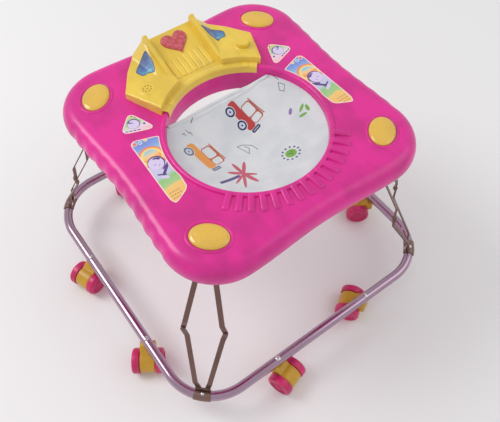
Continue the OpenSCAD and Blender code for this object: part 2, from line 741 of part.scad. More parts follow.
module lamp() {
    color("red") translate([lens_c[0], lens_c[1] - 4, board_top]) {
        cylinder(r = 2.5, h = 4);
        translate([0, 0, 4]) dome(2.5, 2.5);
    }
}

module window_stickers() {
    color("steelblue") for (s = [0, 1]) mirror([s, 0, 0]) translate([0, 0, deck_z]) intersection() {
        difference() {
            wing_mass(-sticker_t);
            wing_mass(0);
        }
        linear_extrude(80) polygon([[58, 176], [80, 152], [88, 136], [70, 131], [62, 138]]);
    }
}

module console_screws() {
    color("gainsboro") console_screw_places() translate([0, 0, -tray_h]) screw(tray_h + boss_bore);
}

button_base = 3 + button_travel;
button_wall = 2;
button_side = wing_h + button_h - button_wall - button_base;
module push_button() {
    color("gold") translate([button_at[0], button_at[1], deck_z + button_base]) difference() {
        union() {
            cylinder(r = button_d / 2, h = button_side);
            translate([0, 0, button_side]) dome(button_d / 2, button_wall);
        }
        translate([0, 0, -1]) cylinder(r = button_d / 2 - button_wall, h = button_side - button_wall + 1);
    }
}

spring_r = 6;
spring_wire = 1;
spring_turns = 5;
module button_spring() {
    height = button_base + button_side - button_wall - spring_wire - 2 * seat_gap;
    sides = 6;
    per_turn = 12;
    n = spring_turns * per_turn;
    points = [for (i = [0:n]) each [for (k = [0:sides - 1])
        let (a = 360 * i / per_turn, b = 360 * k / sides, r = spring_r + spring_wire / 2 * cos(b))
        [r * cos(a), r * sin(a), spring_wire / 2 + seat_gap + height * i / n + spring_wire / 2 * sin(b)]]];
    faces = concat([[for (k = [0:sides - 1]) k]], [[for (k = [sides - 1:-1:0]) n * sides + k]],
        [for (i = [0:n - 1]) for (k = [0:sides - 1]) each
            let (a = i * sides + k, b = i * sides + (k + 1) % sides) [[a, b + sides, b], [a, a + sides, b + sides]]]);
    color("gray") translate([button_at[0], button_at[1], deck_z]) polyhedron(points, faces, convexity = 8);
}

module speaker() {
    color("dimgray") translate([speaker_at[0], speaker_at[1], deck_z]) {
        cylinder(r = 8, h = 6);
        translate([0, 0, 6]) cylinder(r1 = 9, r2 = 15, h = 4);
        translate([0, 0, 10]) cylinder(r = 15, h = 1.5);
    }
}

board_z = 3;
board_t = 1.6;
board_top = deck_z + board_z + board_t;
board_half = [27, 21];
module circuit_board() {
    color("darkgreen") translate([box_c[0], box_c[1], board_top - board_t / 2])
        cube([2 * board_half[0], 2 * board_half[1], board_t], center = true);
}

module battery_box() {
    w = 1.6;
    color("gold") translate([box_c[0], box_c[1], deck_z - box_h]) {
        difference() {
            translate([-box_half[0], -box_half[1], 0]) cube([2 * box_half[0], 2 * box_half[1], box_h]);
            translate([-box_half[0] + w, -box_half[1] + w, -1])
                cube([2 * (box_half[0] - w), 2 * (box_half[1] - w), box_h]);
        }
        for (x = [-1, 1]) for (y = [-1, 1])
            translate([x * (board_half[0] - 3), y * (board_half[1] - 3), box_h]) cylinder(r = 2, h = board_z);
    }
}

module battery_cells() {
    color("dimgray") for (i = [0:cells - 1])
        translate([box_c[0], box_c[1] + (i - (cells - 1) / 2) * (cell_d + 1), deck_z - 1 - 0.6 - cell_d / 2])
            rotate([0, 90, 0]) {
                cylinder(r = cell_d / 2, h = cell_l - 2, center = true);
                cylinder(r = 2.7, h = cell_l + 1, center = true);
            }
}

module battery_door() {
    color("gold") translate([box_c[0], box_c[1], deck_z - box_h - 2])
        translate([-box_half[0] - 1, -box_half[1] - 1, 0]) cube([2 * box_half[0] + 2, 2 * box_half[1] + 2, 2]);
}

base_tube();
corner_brackets();
corner_bolts();
base_pivot_pins();
castor_pins();
for (i = [0:7]) {
    castor_hood(i);
    castor_wheels(i);
}
for (k = STRIPS) {
    tail = str(k[0] + 1, k[1] == 0 ? "a" : "b");
    lower_strip(k[0], k[1]);
    upper_strip(k[0], k[1]);
}
tray();
tray_brackets();
bracket_screws();
tray_pivot_pins();
corner_caps();
side_stickers();
seat_cloth();
seat_studs();
console_shell();
console_screws();
window_stickers();
heart_lens();
lamp();
push_button();
button_spring();
speaker();
circuit_board();
battery_box();
battery_cells();
battery_door();
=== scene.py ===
"""Baby walker: the looks of its pieces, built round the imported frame."""

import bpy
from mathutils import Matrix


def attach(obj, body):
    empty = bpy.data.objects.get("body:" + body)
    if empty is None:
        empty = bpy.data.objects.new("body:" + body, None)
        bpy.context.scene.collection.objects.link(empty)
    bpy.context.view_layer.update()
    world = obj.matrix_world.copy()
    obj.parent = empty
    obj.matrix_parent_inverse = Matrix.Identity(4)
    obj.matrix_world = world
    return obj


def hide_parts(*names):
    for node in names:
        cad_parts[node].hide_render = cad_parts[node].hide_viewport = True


bl_info = {
    "name": "Baby Walker",
    "version": (1, 0, 0),
    "blender": (4, 5, 0),
    "location": "View3D > Sidebar > Walker",
    "description": "Builds the tray, console, seat, base ring and castors of a folding baby walker",
    "category": "Object",
}

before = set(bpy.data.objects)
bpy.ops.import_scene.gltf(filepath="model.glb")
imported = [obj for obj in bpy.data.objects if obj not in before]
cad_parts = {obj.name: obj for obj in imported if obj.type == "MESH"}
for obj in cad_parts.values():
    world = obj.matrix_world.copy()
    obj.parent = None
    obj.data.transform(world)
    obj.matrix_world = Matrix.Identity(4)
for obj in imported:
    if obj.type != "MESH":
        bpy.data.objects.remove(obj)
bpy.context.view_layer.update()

import math

import bmesh
import bpy
import numpy as np
from bpy.props import FloatProperty, FloatVectorProperty, PointerProperty
from mathutils import Matrix, Vector

MM = 0.001

# Sizes in millimetres, as in the part's source
DECK_Z = 430.0
TRAY_W, TRAY_L, TRAY_H, TRAY_R = 474.0, 484.0, 52.0, 92.0
TRAY_BACK = 10.0
SIDE_SAG = 7.0
TRAY_WALL = 3.0
FLUTE_PITCH, FLUTE_DEPTH = 30.0, 1.9
HOLE_R = 134.0
HOLE_C = np.array([0.0, -42.0])
LIP_W, LIP_H = 8.5, 4.0
RIBS, RIB_SPAN, RIB_START, RIB_END = 15, (222, 318), 134.6, 0.13
SEAT_GAP = 0.3
BASE_HALF, BEND_R, TUBE_R, TUBE_Z = 290.0, 97.0, 9.5, 68.0
BOX_C, BOX_HALF = (0.0, 150.0), (33.0, 27.0)
CAP_PLACE, CAP_A, CAP_B, CAP_H = 170.0, 31.2, 22.7, 5.3
WHEEL_R, WHEEL_W, HOOD_R, HOOD_W, TRAIL, AXLE_R = 25.0, 15.0, 23.0, 30.0, 24.0, 3.0
HOOD_TOP, BOSS_R, CASTOR_PLACE = 56.0, 9.0, 110.0
CORNERS = (45, 135, 225, 315)
# Each castor: its side of the ring, its place along that side and its swivel angle
CASTORS = ((0, -1, 143), (0, 1, 340), (1, 1, 73), (1, -1, 248),
           (2, 1, 200), (2, -1, 235), (3, -1, 287), (3, 1, 122))


def ink(red, green, blue):
    """A display colour from 0 to 255 as the linear colour that a shader takes."""
    return tuple(((c / 255 + 0.055) / 1.055) ** 2.4 if c > 10 else c / 3294.6
                 for c in (red, green, blue)) + (1.0,)


# ---------------------------------------------------------------- finishes
class Value:
    """A shader socket that works in plain sums: each operator adds its Math node."""

    def __init__(self, finish, socket):
        self.finish = finish
        self.socket = socket

    def __add__(self, other):
        return self.finish.maths("ADD", self, other)

    def __sub__(self, other):
        return self.finish.maths("SUBTRACT", self, other)

    def __rsub__(self, other):
        return self.finish.maths("SUBTRACT", other, self)

    def __mul__(self, other):
        return self.finish.maths("MULTIPLY", self, other)

    def __abs__(self):
        return self.finish.maths("ABSOLUTE", self)

    __radd__ = __add__
    __rmul__ = __mul__


class Finish:
    """One named material: its shader, and the nodes that feed it."""

    def __init__(self, name, **constants):
        self.material = bpy.data.materials.new(name)
        self.material.use_nodes = True
        self.tree = self.material.node_tree
        self.shader = next(n for n in self.tree.nodes if n.type == "BSDF_PRINCIPLED")
        for key, value in constants.items():
            socket = key.replace("_", " ").title().replace("Ior", "IOR")
            self.shader.inputs[socket].default_value = value

    def node(self, kind, settings, values, out=0):
        """Any node: its settings first, then the values or links of its sockets."""
        made = self.tree.nodes.new(kind)
        for key, value in settings.items():
            if key == "stops":
                ramp = made.color_ramp
                while len(ramp.elements) < len(value):
                    ramp.elements.new(1.0)
                for element, (place, colour) in zip(ramp.elements, value):
                    element.position = place
                    element.color = colour
            else:
                setattr(made, key, value)
        for key, value in (values.items() if isinstance(values, dict) else enumerate(values)):
            if isinstance(value, Value):
                self.tree.links.new(value.socket, made.inputs[key])
            else:
                made.inputs[key].default_value = value
        return Value(self, made.outputs[out])

    def maths(self, operation, *values):
        return self.node("ShaderNodeMath", {"operation": operation}, values)

    def mix(self, mask, under, over):
        return self.node("ShaderNodeMix", {"data_type": "RGBA"}, {0: mask, 6: under, 7: over}, 2)

    def ramp(self, stops, value):
        """The colours of stops, each a place from 0 to 1 and a display colour, picked by value."""
        return self.node("ShaderNodeValToRGB", {"stops": [(place, ink(*c)) for place, c in stops]}, [value])

    def noise(self, size, detail=3.0, rough=0.5, stretch=None):
        """Noise with features of about size millimetres, drawn out by stretch."""
        where = self.place()
        if stretch:
            where = self.node("ShaderNodeMapping", {}, {0: where, 3: stretch})
        return self.node("ShaderNodeTexNoise", {}, {"Vector": where, "Scale": 1 / (size * MM), "Detail": detail,
                                                    "Roughness": rough})

    def place(self):
        return self.node("ShaderNodeTexCoord", {}, {}, 3)

    def flat(self):
        """The place on the piece as x, y and z in millimetres."""
        big = self.node("ShaderNodeVectorMath", {"operation": "SCALE"}, {0: self.place(), "Scale": 1 / MM})
        split = self.node("ShaderNodeSeparateXYZ", {}, [big])
        return [Value(self, split.socket.node.outputs[i]) for i in range(3)]

    def step(self, value, low, high):
        """0 below low, 1 above high, smooth between."""
        return self.node("ShaderNodeMapRange", {"interpolation_type": "SMOOTHSTEP"},
                         [value, low, high, 0.0, 1.0])

    def feed(self, socket, value):
        self.tree.links.new(value.socket, self.shader.inputs[socket])

    def bump(self, height, depth, strength=1.0):
        """height from 0 to 1, standing depth millimetres."""
        self.feed("Normal", self.node("ShaderNodeBump", {},
                                      {"Strength": strength, "Distance": depth * MM, "Height": height}))


def plastic(name, colour, rough, grain=0.05, tone=0.16, edge=0.25, **constants):
    """Moulded plastic: slow changes of tone, faint flow marks, fine grain, and a painted highlight that makes the
    edges paler.
    """
    made = Finish(name, **constants)
    dark = tuple(c * (1 - tone) for c in colour[:3]) + (1.0,)
    light = tuple(c + (1 - c) * 0.25 for c in colour[:3]) + (1.0,)
    slow = made.noise(55.0, 2.0)
    flow = made.noise(16.0, 3.0, 0.6, (1.0, 0.25, 1.0))
    shade = made.mix(made.step(slow * 0.7 + flow * 0.3, 0.35, 0.68), colour, dark)
    # Painted highlight: sharp edges, found by pointiness, are mixed towards a paler colour by the share edge.
    point = made.node("ShaderNodeNewGeometry", {}, {}, "Pointiness")
    shade = made.mix(made.step(point, 0.52, 0.62) * edge, shade, light)
    made.feed("Base Color", shade)
    made.feed("Roughness", made.noise(9.0, 4.0, 0.65) * 0.14 + (rough - 0.07))
    made.bump(made.noise(1.4, 2.0) * 0.5 + flow * 0.5, grain)
    return made.material


def metal(name, colour, rough, streak=(1.0, 1.0, 1.0), stain=0.3, stain_colour=(0.1, 0.07, 0.06, 1.0)):
    """Plated or bare metal: fine rub marks, a little haze, and stains where dirt gathers."""
    made = Finish(name, metallic=1.0)
    spots = made.step(made.noise(7.0, 6.0, 0.7), 0.62, 0.78) * stain
    haze = made.noise(30.0, 3.0, 0.6, streak)
    made.feed("Base Color", made.mix(spots + made.step(haze, 0.5, 0.8) * stain * 0.4, colour, stain_colour))
    made.feed("Roughness", haze * 0.16 + (rough - 0.08) + spots * 0.5)
    made.bump(made.noise(1.8, 3.0, 0.6, streak) * 0.6 + haze * 0.4, 0.03)
    return made.material


class Print:
    """Flat printed shapes, laid one over another, from places in millimetres."""

    def __init__(self, finish, x, y, under):
        self.finish, self.x, self.y, self.colour = finish, x, y, under

    def lay(self, distance, colour, soft=0.35):
        self.colour = self.finish.mix(1 - self.finish.step(distance, -soft, soft), self.colour, colour)

    def turned(self, cx, cy, turn=0.0):
        """A print over this one, with its own centre and direction."""
        c, s = math.cos(math.radians(turn)), math.sin(math.radians(turn))
        dx, dy = self.x - cx, self.y - cy
        return Print(self.finish, dx * c + dy * s, dy * c - dx * s, self.colour)

    def length(self, u, v):
        return self.finish.maths("SQRT", u * u + v * v)

    def disc(self, cx, cy, r, colour):
        own = self.turned(cx, cy)
        self.lay(self.length(own.x, own.y) - r, colour)

    def hoop(self, cx, cy, r, width, colour):
        own = self.turned(cx, cy)
        self.lay(abs(self.length(own.x, own.y) - r) - width / 2, colour)

    def oval(self, cx, cy, rx, ry, turn, colour):
        own = self.turned(cx, cy, turn)
        self.lay((self.length(own.x * (1 / rx), own.y * (1 / ry)) - 1.0) * min(rx, ry), colour)

    def bar(self, ax, ay, bx, by, width, colour):
        """A round-ended line from a to b."""
        limit = self.finish.maths
        own = self.turned(ax, ay, math.degrees(math.atan2(by - ay, bx - ax)))
        past = own.x - limit("MINIMUM", limit("MAXIMUM", own.x, 0.0), math.hypot(bx - ax, by - ay))
        self.lay(self.length(past, own.y) - width / 2, colour)

    def block(self, cx, cy, hx, hy, turn, colour, corner=1.0):
        """A rectangle with rounded corners."""
        own = self.turned(cx, cy, turn)
        u = self.finish.maths("MAXIMUM", abs(own.x) - (hx - corner), 0.0)
        v = self.finish.maths("MAXIMUM", abs(own.y) - (hy - corner), 0.0)
        self.lay(self.length(u, v) - corner, colour)


# ---------------------------------------------------------------- shapes
def shown(name, data):
    """A new object in the scene that holds a mesh, a light or a camera."""
    made = bpy.data.objects.new(name, data)
    bpy.context.scene.collection.objects.link(made)
    return made


def meshed(name, points, faces):
    """A new mesh object from points in millimetres."""
    mesh = bpy.data.meshes.new(name)
    mesh.from_pydata([tuple(float(c) * MM for c in p) for p in points], [], faces)
    mesh.update()
    return shown(name, mesh)


def piece(name, points, faces, material, body, replaced=(), sharp=None, matrix=None):
    """A mesh from points in millimetres, that rides on a body."""
    return dress(meshed(name, points, faces), material, body, replaced, sharp, matrix)


def dress(made, material, body, replaced=(), sharp=None, matrix=None):
    """Gives a new piece its finish, smooth shading and body."""
    mesh = made.data
    tidy(mesh)
    if material and not mesh.materials:
        mesh.materials.append(material)
    mesh.shade_smooth()
    if sharp:
        mesh.set_sharp_from_angle(angle=math.radians(sharp))
    if matrix:
        made.matrix_world = matrix
    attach(made, body)
    if replaced:
        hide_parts(*replaced)
    return made


def tidy(mesh):
    """Merges points that meet, drops faces with no area and turns all faces outwards."""
    work = bmesh.new()
    work.from_mesh(mesh)
    bmesh.ops.remove_doubles(work, verts=work.verts, dist=1e-6)
    bmesh.ops.dissolve_degenerate(work, edges=work.edges, dist=1e-6)
    bmesh.ops.recalc_face_normals(work, faces=work.faces)
    work.to_mesh(mesh)
    work.free()
    mesh.update()


def grid_faces(rows, columns, start=0, wrap_rows=False, wrap_columns=True, flip=False):
    """Quads between the points of a grid that is stored row by row."""
    found = []
    for j in range(rows if wrap_rows else rows - 1):
        for i in range(columns if wrap_columns else columns - 1):
            a = start + j * columns + i
            b = start + j * columns + (i + 1) % columns
            c = start + ((j + 1) % rows) * columns + (i + 1) % columns
            d = start + ((j + 1) % rows) * columns + i
            found.append((a, d, c, b) if flip else (a, b, c, d))
    return found


def changed(made, modifiers):
    """Adds the modifiers and puts their result into the mesh."""
    for kind, settings in modifiers:
        modifier = made.modifiers.new(kind.lower(), kind)
        for key, value in settings.items():
            setattr(modifier, key, value)
    bpy.context.view_layer.update()
    made.data = baked(made)
    return made


def baked(made):
    """The mesh that an object's modifiers give. The modifiers are taken off."""
    after = bpy.data.meshes.new_from_object(made.evaluated_get(bpy.context.evaluated_depsgraph_get()))
    made.modifiers.clear()
    return after


def loose(name, points, faces):
    """A helper mesh in millimetres that is no piece of its own."""
    made = meshed(name, points, faces)
    tidy(made.data)
    return made


def prism(name, edge, low, high, matrix=None):
    """A helper block: an outline in x and y between two heights."""
    n = len(edge)
    points = [(p[0], p[1], low) for p in edge] + [(p[0], p[1], high) for p in edge]
    faces = [tuple(range(n - 1, -1, -1)), tuple(range(n, 2 * n))]
    faces += [(i, (i + 1) % n, n + (i + 1) % n, n + i) for i in range(n)]
    made = loose(name, points, faces)
    if matrix:
        made.data.transform(matrix)
    return made


def cut(made, tools):
    """Takes the helper blocks out of a piece and removes them."""
    changed(made, [("BOOLEAN", {"operation": "DIFFERENCE", "solver": "EXACT", "object": t}) for t in tools])
    for tool in tools:
        bpy.data.objects.remove(tool)
    return made


def circle(r, n, cx=0.0, cy=0.0):
    return [(cx + r * math.cos(2 * math.pi * i / n), cy + r * math.sin(2 * math.pi * i / n)) for i in range(n)]


def lathe(profile, n):
    """Points and faces of a profile of (radius, height) pairs turned round Z. Its ends lie on the axis."""
    points = [(r * math.cos(2 * math.pi * i / n), r * math.sin(2 * math.pi * i / n), z)
              for r, z in profile for i in range(n)]
    return points, grid_faces(len(profile), n)


def rounded(edge, turns=3):
    """An outline with its corners cut back and smoothed."""
    p = np.array(edge, float)
    for _ in range(turns):
        after = np.roll(p, -1, axis=0)
        p = np.stack([0.85 * p + 0.15 * after, 0.15 * p + 0.85 * after], axis=1).reshape(-1, 2)
    return p


def resampled(edge, spacing):
    """The same closed outline with points a set distance apart."""
    p = np.vstack([edge, edge[:1]])
    along = np.concatenate([[0], np.cumsum(np.linalg.norm(np.diff(p, axis=0), axis=1))])
    at = np.linspace(0, along[-1], max(8, int(along[-1] / spacing)), endpoint=False)
    return np.stack([np.interp(at, along, p[:, k]) for k in (0, 1)], axis=1)


def patch(edge, rings, top, bottom):
    """A closed slab over a star-shaped outline. top and bottom give heights from x, y and the share s
    of the way from the middle (0) to the edge (1)."""
    middle = edge.mean(axis=0)
    shares = np.concatenate([[1.0, 0.985, 0.96, 0.92], np.linspace(0.86, 0.0, rings - 3)[:-1]])
    points = []
    for height in (top, bottom):
        for s in shares:
            p = middle + (edge - middle) * s
            z = height(p[:, 0], p[:, 1], s)
            points.append(np.column_stack([p, np.broadcast_to(z, len(p))]))
        centre = height(middle[:1], middle[1:], 0.0)
        points.append(np.array([[middle[0], middle[1], float(np.ravel(centre)[0])]]))
    n, m = len(edge), len(shares)
    layer = n * m + 1
    faces = grid_faces(m, n)
    faces += [((m - 1) * n + i, (m - 1) * n + (i + 1) % n, n * m) for i in range(n)]
    faces += [tuple(layer + k for k in reversed(f)) for f in faces]
    faces += [(i, layer + i, layer + (i + 1) % n, (i + 1) % n) for i in range(n)]
    return np.vstack(points), faces


def away_from(edge, x, y):
    """How far points lie inside a closed outline's edge."""
    a = np.array(edge, float)
    b = np.roll(a, -1, axis=0)
    p = np.stack([np.ravel(x), np.ravel(y)], axis=1)[:, None, :]
    d = b - a
    t = np.clip(((p - a) * d).sum(-1) / (d * d).sum(-1), 0, 1)[..., None]
    return np.linalg.norm(p - (a + t * d), axis=-1).min(axis=1).reshape(np.shape(x))


def mark_edge(made, edge):
    """Writes each point's distance from an outline, for printed borders."""
    co = np.zeros(len(made.data.vertices) * 3)
    made.data.vertices.foreach_get("co", co)
    co = co.reshape(-1, 3) / MM
    layer = made.data.attributes.new("border", "FLOAT", "POINT")
    layer.data.foreach_set("value", away_from(edge, co[:, 0], co[:, 1]).astype(np.float32))


# ---------------------------------------------------------------- tray
def tray_edge(out, flute, side_steps=(176, 120), corner_steps=26):
    """The moulding's outline, drawn in by out, with flutes of that depth on its two long sides."""
    found = []
    for s in range(4):
        width, length = (TRAY_W, TRAY_L) if s % 2 == 0 else (TRAY_L, TRAY_W)
        run = length - 2 * TRAY_R
        t = np.linspace(0, 1, side_steps[s % 2], endpoint=False)
        pull = SIDE_SAG * (1 - np.cos(2 * np.pi * t)) / 2
        if s % 2 == 0:
            pull = pull + flute * (1 - np.cos(2 * np.pi * t * round(run / FLUTE_PITCH))) / 2
        side = np.stack([width / 2 - out - pull, (t - 0.5) * run], axis=1)
        a = np.linspace(0, np.pi / 2, corner_steps, endpoint=False)
        corner = np.stack([width / 2 - TRAY_R + (TRAY_R - out) * np.cos(a),
                           length / 2 - TRAY_R + (TRAY_R - out) * np.sin(a)], axis=1)
        turn = np.radians(90 * s)
        both = np.vstack([side, corner])
        found.append(np.stack([both[:, 0] * np.cos(turn) - both[:, 1] * np.sin(turn),
                               both[:, 0] * np.sin(turn) + both[:, 1] * np.cos(turn) - TRAY_BACK], axis=1))
    return np.vstack(found)


def hole_edge(far, out):
    """The seat hole's edge, let out by out, in step with the outline points far."""
    a = np.arctan2(far[:, 1] - HOLE_C[1], far[:, 0] - HOLE_C[0])
    return HOLE_C + (HOLE_R + out) * np.stack([np.cos(a), np.sin(a)], axis=1)


def tray_shape(inner, steps=((176, 120), 26)):
    """Points and faces of the moulding's outside, or of the space inside its wall."""
    far = tray_edge(0, 0, *steps)
    bottom, half, edge_r = DECK_Z - TRAY_H, TRAY_H / 2, TRAY_H / 2 - 2
    wall = TRAY_WALL if inner else 0.0
    rings = [(hole_edge(far, 7 + wall), bottom + wall), (tray_edge(44, 0, *steps), bottom + wall)]
    for a in np.radians(np.arange(-84, 85, 24 if inner else 6)):
        fade = max(0.0, 1 - (abs(math.degrees(a)) / 62) ** 3)
        out = wall * 1.5 + (edge_r - wall) * (1 - math.cos(a))
        rings.append((tray_edge(out, 0 if inner else FLUTE_DEPTH * fade, *steps),
                      DECK_Z - half + (half - wall) * math.sin(a)))
    deck = tray_edge(34 if inner else 32, 0, *steps)
    if inner:
        rings += [(deck, DECK_Z - wall), (hole_edge(far, LIP_W - 2), DECK_Z - wall),
                  (hole_edge(far, wall), DECK_Z - wall - 1), (hole_edge(far, wall), bottom + 7)]
    else:
        lip = hole_edge(far, LIP_W)
        rings += [(deck * (1 - t) + lip * t, DECK_Z) for t in (0, 0.04, 0.3, 0.6, 0.9, 0.985, 1)]
        for k in range(1, 12):
            a = math.pi * k / 12
            rings.append((hole_edge(far, LIP_W * (0.5 + 0.5 * math.cos(a))),
                          DECK_Z + (LIP_H if a < math.pi / 2 else LIP_H + 2) * math.sin(a) ** 0.7
                          - (0 if a < math.pi / 2 else 2)))
        rings += [(hole_edge(far, 0.0), z) for z in (DECK_Z - 2.5, DECK_Z - 12, DECK_Z - 30, bottom + 7)]
        rings += [(hole_edge(far, 2.0), bottom + 2)]
    points = np.vstack([np.column_stack([p, np.full(len(p), z)]) for p, z in rings])
    return points, grid_faces(len(rings), len(far), wrap_rows=True)


def cap_frames():
    """The place and turn of each corner cap."""
    for a in CORNERS:
        turn = math.radians(a)
        out = CAP_PLACE * math.sqrt(2)
        yield (Matrix.Translation(Vector((out * math.cos(turn), out * math.sin(turn) - TRAY_BACK, DECK_Z)) * MM)
               @ Matrix.Rotation(turn + math.pi / 2, 4, "Z"))


def bead(edge, width, height):
    """A rounded bead that stands on the plane z = 0 along a closed outline."""
    middle = edge.mean(axis=0)
    reach = np.linalg.norm(edge - middle, axis=1)[:, None]
    unit = (edge - middle) / reach
    rows = []
    for k in range(9):
        a = math.pi * k / 8
        rows.append(np.column_stack([edge + unit * (width / 2) * math.cos(a),
                                     np.full(len(edge), height * math.sin(a) - 0.05)]))
    return np.vstack(rows), grid_faces(9, len(edge), wrap_rows=True)


def build_tray(colours, sizes):
    pink = plastic("tray_pink", colours.moulding, 0.36, 0.12, 0.24, 0.14, coat_weight=0.22, coat_roughness=0.14,
                   subsurface_weight=0.06, subsurface_scale=0.004)
    points, faces = tray_shape(False)
    tray = loose("tray_moulding", points, faces)
    space = loose("tray_space", *tray_shape(True, ((24, 16), 8)))
    tools = [space]
    for frame_of in cap_frames():
        tools.append(prism("cap_seat", np.array(circle(1, 96)) * (CAP_A, CAP_B), -1.2, 10, frame_of))
    half_x, half_y = BOX_HALF
    box = [(-half_x, -half_y), (half_x, -half_y), (half_x, half_y), (-half_x, half_y)]
    place = Matrix.Translation((BOX_C[0] * MM, BOX_C[1] * MM, 0))
    tools.append(prism("door_opening", box, DECK_Z - TRAY_H - 15, DECK_Z - TRAY_H + 15, place))
    wider = [(x * 1.01, y * 1.01) for x, y in box]
    tools.append(prism("battery_opening", wider, DECK_Z - 15, DECK_Z + 15, place))
    cut(tray, tools)
    dress(tray, pink, "tray", ["tray"], 38)
    for k, frame_of in enumerate(cap_frames()):
        edge = np.array(circle(1, 96)) * (CAP_A + 3.2, CAP_B + 3.2)
        points, faces = bead(edge, 5.0, 1.3)
        piece(f"cap_surround_{k + 1}", points, faces, pink, "tray", matrix=frame_of)
    build_ribs(pink, sizes)


def build_ribs(pink, sizes):
    """Rounded bars that run out from the rear of the seat ring."""
    length, width, height = (size / MM for size in (sizes.rib_length, sizes.rib_width, sizes.rib_height))
    points, faces = [], []
    along = np.array([0, 0.02, 0.06, 0.13, 0.3, 0.5, 0.7, 0.85, 0.93, 0.98, 1.0])
    for a in np.radians(np.linspace(*RIB_SPAN, RIBS)):
        out = np.array([math.cos(a), math.sin(a)])
        across = np.array([-out[1], out[0]])
        start = len(points)
        for t in along:
            r = RIB_START + t * (length + 1.8)
            end = math.sqrt(1 - (1 - min(t, 1 - t, RIB_END) / RIB_END) ** 2)
            crest = (LIP_H + 1.4) * (1 - t) + height * t
            for k in range(9):
                b = math.pi * k / 8
                side = width / 2 * (0.55 + 0.45 * end) * math.copysign(abs(math.cos(b)) ** 0.6, math.cos(b))
                p = HOLE_C + out * r + across * side
                points.append((p[0], p[1], DECK_Z - 0.4 + (crest * end + 0.4) * math.sin(b) ** 0.6))
        faces += grid_faces(len(along), 9, start)
        faces += [tuple(range(start, start + 9)),
                  tuple(range(start + 9 * (len(along) - 1), start + 9 * len(along)))[::-1]]
    piece("ring_ribs", points, faces, pink, "tray", sharp=50)


def build_caps(colours, sizes):
    yellow = plastic("cap_yellow", colours.cap, 0.26, 0.05, 0.1, 0.15, coat_weight=0.6, coat_roughness=0.08)
    edge = np.array(circle(1, 120)) * (CAP_A - 0.4, CAP_B - 0.4)

    def top(x, y, s):
        u, v = x / (CAP_A - 0.4), y / (CAP_B - 0.4)
        a, r = np.arctan2(v, u), np.hypot(u, v)
        dome = CAP_H * np.clip(1 - r ** 2.6, 0, 1) ** 0.42
        petal = np.exp(-((r - 0.52 - 0.12 * np.cos(6 * a)) / 0.055) ** 2) + np.exp(-((r - 0.2) / 0.06) ** 2)
        hoop = np.exp(-((r - 0.82) / 0.04) ** 2)
        return dome + sizes.emboss / MM * (petal + hoop) + 0.15

    points, faces = patch(edge, 44, top, lambda x, y, s: -1.1)
    for k, frame_of in enumerate(cap_frames()):
        made = piece(f"corner_cap_{k + 1}", points, faces, yellow, "tray", matrix=frame_of)
        if k == 0:
            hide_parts("corner_caps")


# ---------------------------------------------------------------- stickers
def printed(name, rough=0.3, coat=0.4):
    """A printed film, glossy and a little wrinkled. Its print is the same on both sides of the walker."""
    made = Finish(name, roughness=rough, coat_weight=coat, coat_roughness=0.1)
    x, y, _ = made.flat()
    return made, Print(made, abs(x), y, None)


def bordered(shapes, width, colour, ripple, depth):
    """Closes a print with its border and its wrinkles, and gives the material."""
    made = shapes.finish
    border = made.node("ShaderNodeAttribute", {"attribute_name": "border"}, {}, 2)
    shapes.lay(border - width, colour)
    made.feed("Base Color", shapes.colour)
    made.bump(made.noise(ripple, 2.0), depth)
    return made.material


CREAM, PLUM, LILAC, LEAF = ink(247, 226, 214), ink(88, 58, 130), ink(220, 205, 240), ink(150, 205, 130)
CORAL_DOT, BLUE_DOT, YELLOW_DOT, GREEN_DOT = (ink(232, 120, 112), ink(120, 190, 226), ink(244, 206, 92),
                                              ink(140, 200, 120))


def side_print():
    """The long film: a rainbow over a round face of the moon, dots above and rows of dashes below."""
    made, shapes = printed("side_print")
    shapes.colour = made.ramp(
        ((0.0, (247, 190, 110)), (0.14, (246, 200, 120)), (0.17, (168, 205, 140)), (0.3, (150, 200, 130)),
         (0.36, (196, 200, 226)), (0.55, (214, 200, 236)), (0.66, (250, 190, 120)), (0.72, (245, 150, 96)),
         (0.78, (250, 205, 140)), (0.84, (150, 205, 226)), (0.94, (128, 150, 222)), (1.0, (120, 130, 214))),
        made.step(shapes.y + made.noise(20.0, 2.0) * 14.0 - 7.0, -108.0, 44.0))
    for x, y, r, c in ((170, 32, 4.2, CORAL_DOT), (161, 30, 3.8, BLUE_DOT), (151, 31, 3.6, YELLOW_DOT),
                       (142, 32, 3.4, GREEN_DOT)):
        shapes.disc(x, y, r, CREAM)
        shapes.disc(x, y, r - 0.9, c)
    for r, c in ((21.0, ink(240, 120, 120)), (18.6, ink(250, 176, 92)), (16.2, ink(252, 226, 130))):
        shapes.hoop(160, -6, r, 2.4, c)
    shapes.disc(161, -20, 14.0, PLUM)
    shapes.disc(162, -21, 12.6, LILAC)
    shapes.oval(157, -13, 6.0, 2.6, 25, PLUM)
    shapes.oval(159.5, -14.2, 3.8, 1.3, 25, LILAC)
    for ax, ay, bx, by, w in ((150, -34, 163, -46, 4.6), (147, -30, 158, -36, 2.4), (160, -48, 171, -42, 2.6),
                              (163, -22, 166, -23, 0.9), (158, -26, 160, -27, 0.9)):
        shapes.bar(ax, ay, bx, by, w, PLUM)
    shapes.block(164, -52, 6.0, 2.6, 30, LILAC)
    for y in (-82, -88, -94):
        for x in (158, 163, 168, 173):
            shapes.bar(x, y, x + 2.4, y - 0.6, 1.1, ink(106, 106, 96))
    return bordered(shapes, 1.6, CREAM, 24.0, 0.25)


